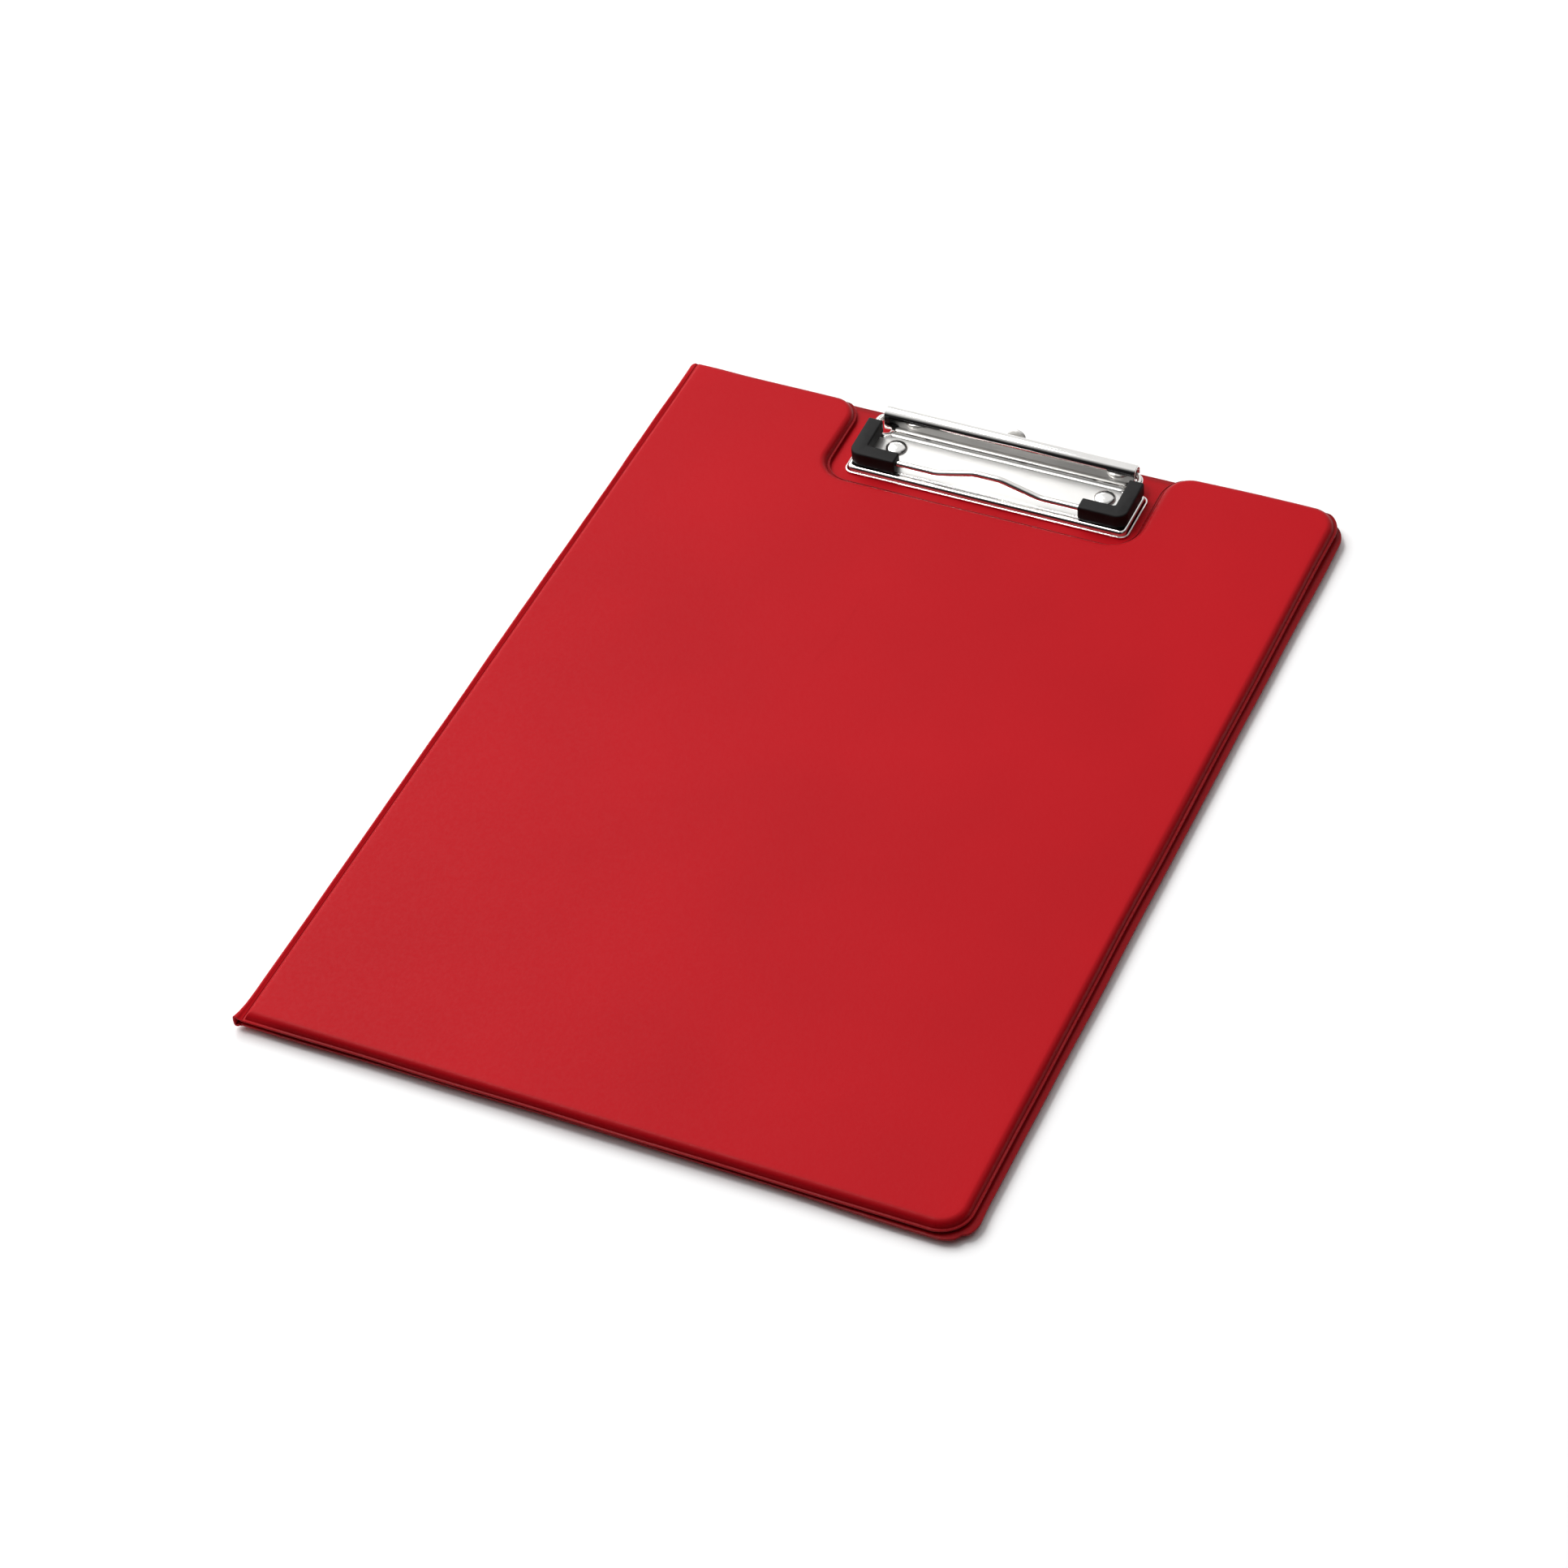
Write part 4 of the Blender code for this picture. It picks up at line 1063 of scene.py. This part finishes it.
def plate_section():
    """(inset, z) outline of the stamped plate: panel, groove, rolled rim, sloping wall and flange."""
    base = PLATE_LOW.z
    flange = base + PLATE_FLANGE_THICKNESS
    rim = base + PLATE_HEIGHT
    panel = rim - PANEL_DROP
    # Insets and radii in millimetres, with the height between them.
    corners = [
        (4.6, panel, 0.0),
        (3.66, panel, 0.15),
        (3.44, panel - GROOVE_DEPTH, 0.08),
        (3.22, panel, 0.12),
        (2.75, panel + RIM_FOOT_RISE, 0.5),
        (2.2, rim, 0.4),
        (1.15, rim, 1.1),
        (0.4, flange, 0.2),
        (0.0, flange, 0.12),
        (0.0, base, 0.1),
        (0.9, base, 0.25),
        (1.5, rim - SHEET, 0.4),
        (4.6, panel - SHEET, 0.0),
    ]
    return rounded_section([(inset * MM, z, radius * MM) for inset, z, radius in corners])


def build_plate():
    corners = plate_corners()
    builder = bmesh.new()
    satin = builder.verts.layers.float.new("satin")
    loops = []
    for inset, z in plate_section():
        loops.append([Vector((*point, z)) for point in rounded_outline(corners, inset)])
    rows = loft(builder, loops)
    for vertex in rows[0] + rows[1]:
        vertex[satin] = 1.0
    plate = add_piece("clip_plate", builder, NICKEL, METAL_SHARP_DEGREES)
    combine(plate, build_bead(), "UNION")
    for side in (-1, 1):
        combine(plate, build_lug(side), "UNION")
    combine(plate, build_tab(), "UNION")
    shade(plate, METAL_SHARP_DEGREES)
    place(plate, "back_board", "nickel", "clip_base_plate")


def build_bead():
    """A stiffening bead pressed across the panel, in front of the lever."""
    panel = PLATE_LOW.z + PLATE_HEIGHT - PANEL_DROP
    centre_y = HINGE.y - BEAD_DISTANCE
    near, far = HINGE.x - BEAD_HALF_LENGTH, HINGE.x + BEAD_HALF_LENGTH
    loops = []
    for inset, x in edged_levels(near, far, BEAD_HALF_WIDTH, BEAD_END_STEPS):
        share = 1 - inset / BEAD_HALF_WIDTH * BEAD_END_TAPER
        loop = []
        for step in range(BEAD_STEPS + 1):
            angle = math.pi * step / BEAD_STEPS
            y = centre_y - BEAD_HALF_WIDTH * math.cos(angle) * share
            rise = (BEAD_HEIGHT * math.sin(angle) ** BEAD_FULLNESS - BEAD_SINK) * share
            loop.append(Vector((x, y, panel + rise)))
        for side in (1, -1):
            loop.append(Vector((x, centre_y + side * BEAD_HALF_WIDTH * share, panel - BEAD_ROOT)))
        loops.append(loop)
    return lofted("bead", loops, NICKEL)


def build_lug(side):
    """An upright lug with a round head, which holds the hinge pin."""
    foot = PLATE_LOW.z + PLATE_HEIGHT - PANEL_DROP - SHEET / 2
    corners = half_round(LUG_RADIUS, foot, HINGE.z + LUG_RADIUS)
    centre_x = HINGE.x + side * LUG_X
    levels = edged_levels(-LUG_THICKNESS / 2, LUG_THICKNESS / 2, LUG_EDGE_RADIUS)
    return slab("lug", corners, levels, NICKEL, lambda u, v, w: Vector((centre_x + w, HINGE.y + u, v)))


def build_tab():
    """The hanging tab at the middle of the plate's rear edge, with its hole."""
    top = PLATE_HIGH.z - TAB_DROP
    corners = half_round(TAB_RADIUS, PLATE_LOW.z + TAB_FOOT_RISE, top)
    centre_x = (PLATE_LOW.x + PLATE_HIGH.x) / 2
    rear = PLATE_HIGH.y

    def lean(u, v, w):
        return Vector((centre_x + u, rear - w + TAB_LEAN * max(0.0, v - TAB_LEAN_START), v))

    tab = slab("tab", corners, edged_levels(0.0, TAB_THICKNESS, TAB_EDGE_RADIUS), NICKEL, lean)
    section = circle(TAB_HOLE_RADIUS, ROUND_SIDES)
    loops = []
    for y in (rear - TAB_HOLE_FRONT, rear + TAB_HOLE_REAR):
        loops.append([Vector((centre_x + point.x, y, top - TAB_HOLE_DROP + point.y)) for point in section])
    combine(tab, lofted("tab_hole", loops, NICKEL), "DIFFERENCE")
    return tab


def rivet_profile(low, high, plate_z, head_radius):
    """(radius, z) line of a tubular rivet: its bore, rolled tail, shank and domed head."""
    roll_z = low + RIVET_ROLL
    profile = [(RIVET_BORE, low + RIVET_BORE_DEPTH), (RIVET_BORE, roll_z)]
    middle = (RIVET_BORE + RIVET_FLARE) / 2
    half = (RIVET_FLARE - RIVET_BORE) / 2
    for step in range(1, RIVET_ROLL_STEPS):
        angle = math.pi * step / RIVET_ROLL_STEPS
        profile.append((middle - half * math.cos(angle), low + RIVET_ROLL * (1 - math.sin(angle))))
    profile += [(RIVET_FLARE, roll_z), (RIVET_SHANK, low + RIVET_SHANK_START), (RIVET_SHANK, plate_z)]
    for inset, rise in RIVET_HEAD_EDGE:
        profile.append((head_radius - inset, plate_z + rise))
    dome_z = plate_z + RIVET_DOME_RISE
    for step in range(RIVET_DOME_STEPS):
        angle = math.pi / 2 * step / RIVET_DOME_STEPS
        radius = (head_radius - RIVET_DOME_INSET) * math.cos(angle) ** RIVET_DOME_FULLNESS
        profile.append((radius, dome_z + (high - dome_z) * math.sin(angle)))
    return profile + [(RIVET_DOME_INSET, high)]


def washer_profile(low, high, outer):
    """(radius, z) ring of a washer with bevelled edges."""
    bore = WASHER_BORE
    edge = WASHER_EDGE
    return [
        (bore, low + edge),
        (bore + edge, low),
        (outer - edge, low),
        (outer, low + edge),
        (outer, high - edge),
        (outer - edge, high),
        (bore + edge, high),
        (bore, high - edge),
    ]


def build_rivets():
    """Tubular rivets: a domed head above the plate, a rolled tail under the board, and a burr washer."""
    for side in ("left", "right"):
        low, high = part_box(f"rivet_{side}")
        centre = Vector(((low.x + high.x) / 2, (low.y + high.y) / 2, 0))
        plate_z = PLATE_LOW.z + PLATE_HEIGHT - PANEL_DROP
        profile = rivet_profile(low.z, high.z, plate_z, (high.x - low.x) / 2)
        rivet = turned(f"clip_rivet_{side}", centre, profile, NICKEL)
        brushed(rivet, RIVET_SATIN)
        place(rivet, "back_board", "nickel", f"rivet_{side}")
        low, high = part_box(f"rivet_washer_{side}")
        ring = washer_profile(low.z, high.z, (high.x - low.x) / 2)
        washer = turned(f"clip_washer_{side}", centre, ring, NICKEL, ring=True)
        place(washer, "back_board", "nickel", f"rivet_washer_{side}")


def build_pin():
    low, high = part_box("hinge_pin")
    start = Vector((low.x, HINGE.y, HINGE.z))
    end = Vector((high.x, HINGE.y, HINGE.z))
    pin = rod("clip_pin", start, end, (high.z - low.z) / 2, SPRING_STEEL, PIN_EDGE_RADIUS)
    place(pin, "back_board", "spring_steel", "hinge_pin")


# ---------------- clip, turning pieces


def hood_profile(radius, rise, front_drop, rear_drop):
    """(y, z) line from the hood's front edge, over the arch, to its rear edge."""
    points = [(-radius, -front_drop)]
    for step in range(HOOD_STEPS + 1):
        angle = math.pi * (1 - step / HOOD_STEPS)
        points.append((radius * math.cos(angle), rise + radius * math.sin(angle)))
    return points + [(radius, -rear_drop)]


def build_hood():
    """The pressed lever: a long hood with rounded sheet edges, and webs for the pin and the wire."""
    low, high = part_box("lever_bar")
    radius = (high.y - low.y) / 2
    front_drop = HINGE.z - low.z
    rise = high.z - HINGE.z - radius
    loops = []
    for inset, x in edged_levels(low.x, high.x, HOOD_EDGE_RADIUS):
        drops = (rise, front_drop - inset, HOOD_REAR_DROP - inset)
        outer = hood_profile(radius - inset, *drops)
        inner = hood_profile(radius - HOOD_THICKNESS + inset, *drops)
        loops.append([Vector((x, HINGE.y + y, HINGE.z + z)) for y, z in outer + inner[::-1]])
    hood = lofted("clip_hood", loops, NICKEL, sharp_degrees=FILM_SHARP_DEGREES)
    web_line = hood_profile(radius - HOOD_THICKNESS / 2, rise, WEB_DROP, HOOD_REAR_DROP / 2)
    for side in (-1, 1):
        for web_x in (PIN_WEB_X, WIRE_WEB_X):
            near = HINGE.x + side * web_x - WEB_THICKNESS / 2
            web = []
            for x in (near, near + WEB_THICKNESS):
                web.append([Vector((x, HINGE.y + y, HINGE.z + z)) for y, z in web_line])
            combine(hood, lofted("web", web, NICKEL), "UNION")
        slot_x = HINGE.x + side * LUG_X
        slot_low = Vector((slot_x - LUG_THICKNESS, HINGE.y + radius / 2, HINGE.z - front_drop))
        slot_high = Vector((slot_x + LUG_THICKNESS, HINGE.y + radius * 1.5, HINGE.z + rise))
        combine(hood, block_between(slot_low, slot_high), "DIFFERENCE")
        start = HINGE + Vector((side * WIRE_WEB_X - MM, 0, 0))
        bore = rod("bore", start, start + Vector((2 * MM, 0, 0)), WIRE_RADIUS + WIRE_BORE_CLEARANCE, NICKEL)
        combine(hood, bore, "DIFFERENCE")
    pin_low, pin_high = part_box("hinge_pin")
    start = Vector((pin_low.x - MM, HINGE.y, HINGE.z))
    end = Vector((pin_high.x + MM, HINGE.y, HINGE.z))
    bore = rod("bore", start, end, (pin_high.z - pin_low.z) / 2 + PIN_BORE_CLEARANCE, NICKEL)
    combine(hood, bore, "DIFFERENCE")
    shade(hood, METAL_SHARP_DEGREES)
    place(hood, "clip_lever", "nickel", "lever_bar")


def block_between(low, high):
    builder = bmesh.new()
    bmesh.ops.create_cube(builder, size=1.0)
    middle = Matrix.Translation((low + high) / 2) @ Matrix.Diagonal((*(high - low), 1.0))
    bmesh.ops.transform(builder, matrix=middle, verts=builder.verts)
    return add_piece("block", builder, NICKEL)


def wire_corners():
    """(point, radius) corners of the wire from its left end inside the hood to its right end."""
    low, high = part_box("wire_bail")
    front_y = low.y + WIRE_RADIUS
    front_z = low.z + WIRE_RADIUS
    arm_x = HINGE.x - (low.x + WIRE_RADIUS)
    crest_z = high.z - WIRE_RADIUS
    left = [
        (HINGE - Vector((WIRE_END_X, 0, 0)), 0.0),
        (HINGE - Vector((arm_x, 0, 0)), WIRE_REAR_RADIUS),
        (Vector((HINGE.x - arm_x, front_y, front_z)), WIRE_CORNER_RADIUS),
        (Vector((HINGE.x - WAVE_FOOT_X, front_y, front_z)), WAVE_RADIUS),
        (Vector((HINGE.x - WAVE_CREST_X, front_y, crest_z)), WAVE_RADIUS),
    ]
    right = []
    for point, radius in reversed(left):
        right.append((Vector((2 * HINGE.x - point.x, point.y, point.z)), radius))
    return left + right


def build_wire():
    path = rounded_path(wire_corners())
    wire = swept("clip_wire", path, WIRE_RADIUS, WIRE_SIDES, Vector((0, 0, 1)), NICKEL)
    brushed(wire, WIRE_SATIN)
    place(wire, "clip_lever", "nickel", "wire_bail")


def build_rubber(side, label):
    """An L-shaped rubber sleeve with soft edges, bored for the wire. It slopes with the wire's arm."""
    corner = wire_corners()[2][0]
    corner.x = HINGE.x + side * (HINGE.x - corner.x)
    low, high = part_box(f"rubber_corner_{label}")
    half = RUBBER_SIDE / 2
    outer_x = corner.x + side * half
    inner_x = corner.x - side * half
    front_y = corner.y - half
    end_x = low.x if side > 0 else high.x
    corners = [
        (outer_x, front_y, RUBBER_CORNER_RADIUS),
        (outer_x, high.y, RUBBER_END_RADIUS),
        (inner_x, high.y, RUBBER_END_RADIUS),
        (inner_x, front_y + RUBBER_SIDE, RUBBER_INNER_RADIUS),
        (end_x, front_y + RUBBER_SIDE, RUBBER_END_RADIUS),
        (end_x, front_y, RUBBER_END_RADIUS),
    ]
    if side < 0:
        corners.reverse()
    slope = (HINGE.z - corner.z) / (HINGE.y - corner.y)

    def sloped(u, v, w):
        return Vector((u, v, corner.z + w + slope * max(0.0, v - corner.y)))

    levels = edged_levels(-half, half, RUBBER_EDGE_RADIUS)
    rubber = slab(f"clip_rubber_{label}", corners, levels, RUBBER, sloped)
    path = [point for point in rounded_path(wire_corners()) if (point.x - HINGE.x) * side > 0]
    bore_radius = WIRE_RADIUS + RUBBER_BORE_CLEARANCE
    bore = swept("bore", path, bore_radius, WIRE_SIDES, Vector((0, 0, 1)), RUBBER)
    combine(rubber, bore, "DIFFERENCE")
    shade(rubber, METAL_SHARP_DEGREES)
    place(rubber, "clip_lever", "rubber", f"rubber_corner_{label}")


def build_spring(side, label):
    """A torsion spring round the pin, with a long leg down in front and a short leg down behind."""
    start = HINGE + Vector((side * SPRING_INNER_X, 0, 0))
    points = [start + Vector((0, -SPRING_COIL_RADIUS, -SPRING_LOWER_LEG))]
    for step in range(int((SPRING_TURNS + 0.5) * COIL_STEPS) + 1):
        angle = math.pi - math.tau * step / COIL_STEPS
        radial = Vector((0, math.cos(angle), math.sin(angle))) * SPRING_COIL_RADIUS
        points.append(start + Vector((side * SPRING_PITCH * step / COIL_STEPS, 0, 0)) + radial)
    points.append(points[-1] + Vector((0, 0, -SPRING_UPPER_LEG)))
    up = Vector((1, 0, 0))
    spring = swept(f"clip_spring_{label}", points, SPRING_WIRE_RADIUS, SPRING_SIDES, up, SPRING_STEEL)
    place(spring, "clip_lever", "spring_steel", f"torsion_spring_{label}")


def build_clip():
    build_plate()
    build_rivets()
    build_pin()
    build_hood()
    build_wire()
    for label, side in (("left", -1), ("right", 1)):
        build_rubber(side, label)
        build_spring(side, label)


# ---------------- stage


def build_camera():
    """The camera looks from the front right, and leans a little to its right."""
    azimuth = math.radians(CAMERA_AZIMUTH)
    elevation = math.radians(CAMERA_ELEVATION)
    level = math.cos(elevation)
    back = Vector((math.sin(azimuth) * level, -math.cos(azimuth) * level, math.sin(elevation)))
    aim = Vector((0, 0, FRONT_HIGH.z)) + CAMERA_AIM
    data = bpy.data.cameras.new("camera")
    data.lens = CAMERA_LENS
    data.sensor_width = CAMERA_SENSOR
    data.clip_start = CAMERA_NEAREST
    camera = bpy.data.objects.new("camera", data)
    bpy.context.scene.collection.objects.link(camera)
    right = Vector((math.cos(azimuth), math.sin(azimuth), 0))
    axes = Matrix((right, back.cross(right), back)).transposed()
    rolled = axes @ Matrix.Rotation(math.radians(CAMERA_ROLL), 3, "Z")
    camera.matrix_world = Matrix.Translation(aim + back * CAMERA_DISTANCE) @ rolled.to_4x4()
    bpy.context.scene.camera = camera


def build_world():
    """A soft studio: bright towards STUDIO_BRIGHT_SIDE, dim on the camera's side."""
    world = bpy.data.worlds.new("studio")
    bpy.context.scene.world = world
    world.use_nodes = True
    tree = world.node_tree
    background = tree.nodes["Background"]
    direction = add_node(tree, "ShaderNodeTexCoord")
    towards = add_node(tree, "ShaderNodeVectorMath", operation="DOT_PRODUCT")
    towards.inputs[1].default_value = STUDIO_BRIGHT_SIDE
    ramp = add_node(tree, "ShaderNodeValToRGB")
    stops = ramp.color_ramp.elements
    stops.new(STUDIO_STOPS[1][0])
    for stop, (position, color) in zip(stops, STUDIO_STOPS):
        stop.position = position
        stop.color = color
    tree.links.new(direction.outputs["Generated"], towards.inputs[0])
    tree.links.new(towards.outputs["Value"], ramp.inputs["Fac"])
    tree.links.new(ramp.outputs["Color"], background.inputs["Color"])
    background.inputs["Strength"].default_value = 1.0


def add_area_light(name, position, target, size, power):
    data = bpy.data.lights.new(name, "AREA")
    data.shape = "RECTANGLE"
    data.size, data.size_y = size
    data.energy = power
    light = bpy.data.objects.new(name, data)
    bpy.context.scene.collection.objects.link(light)
    light.location = position
    light.rotation_euler = (target - position).to_track_quat("-Z", "Y").to_euler()


def build_stage():
    """A white floor just under the object, and the lamps."""
    builder = bmesh.new()
    bmesh.ops.create_grid(builder, x_segments=1, y_segments=1, size=FLOOR_HALF_SIZE)
    floor = add_piece("floor", builder, FLOOR)
    floor.location.z = cad_low.z - FLOOR_GAP
    for name, position, size, power in LAMPS:
        add_area_light(name, position, Vector((0, 0, 0)), size, power)


def build():
    build_covers()
    build_pocket()
    build_spine()
    build_clip()
    for name in ("back_stiffener", "front_stiffener"):
        board = frame["nodes"][name]
        board.data.materials.clear()
        board.data.materials.append(GREYBOARD)
    build_camera()
    build_world()
    build_stage()
    bpy.context.scene.view_settings.view_transform = "Standard"


build()
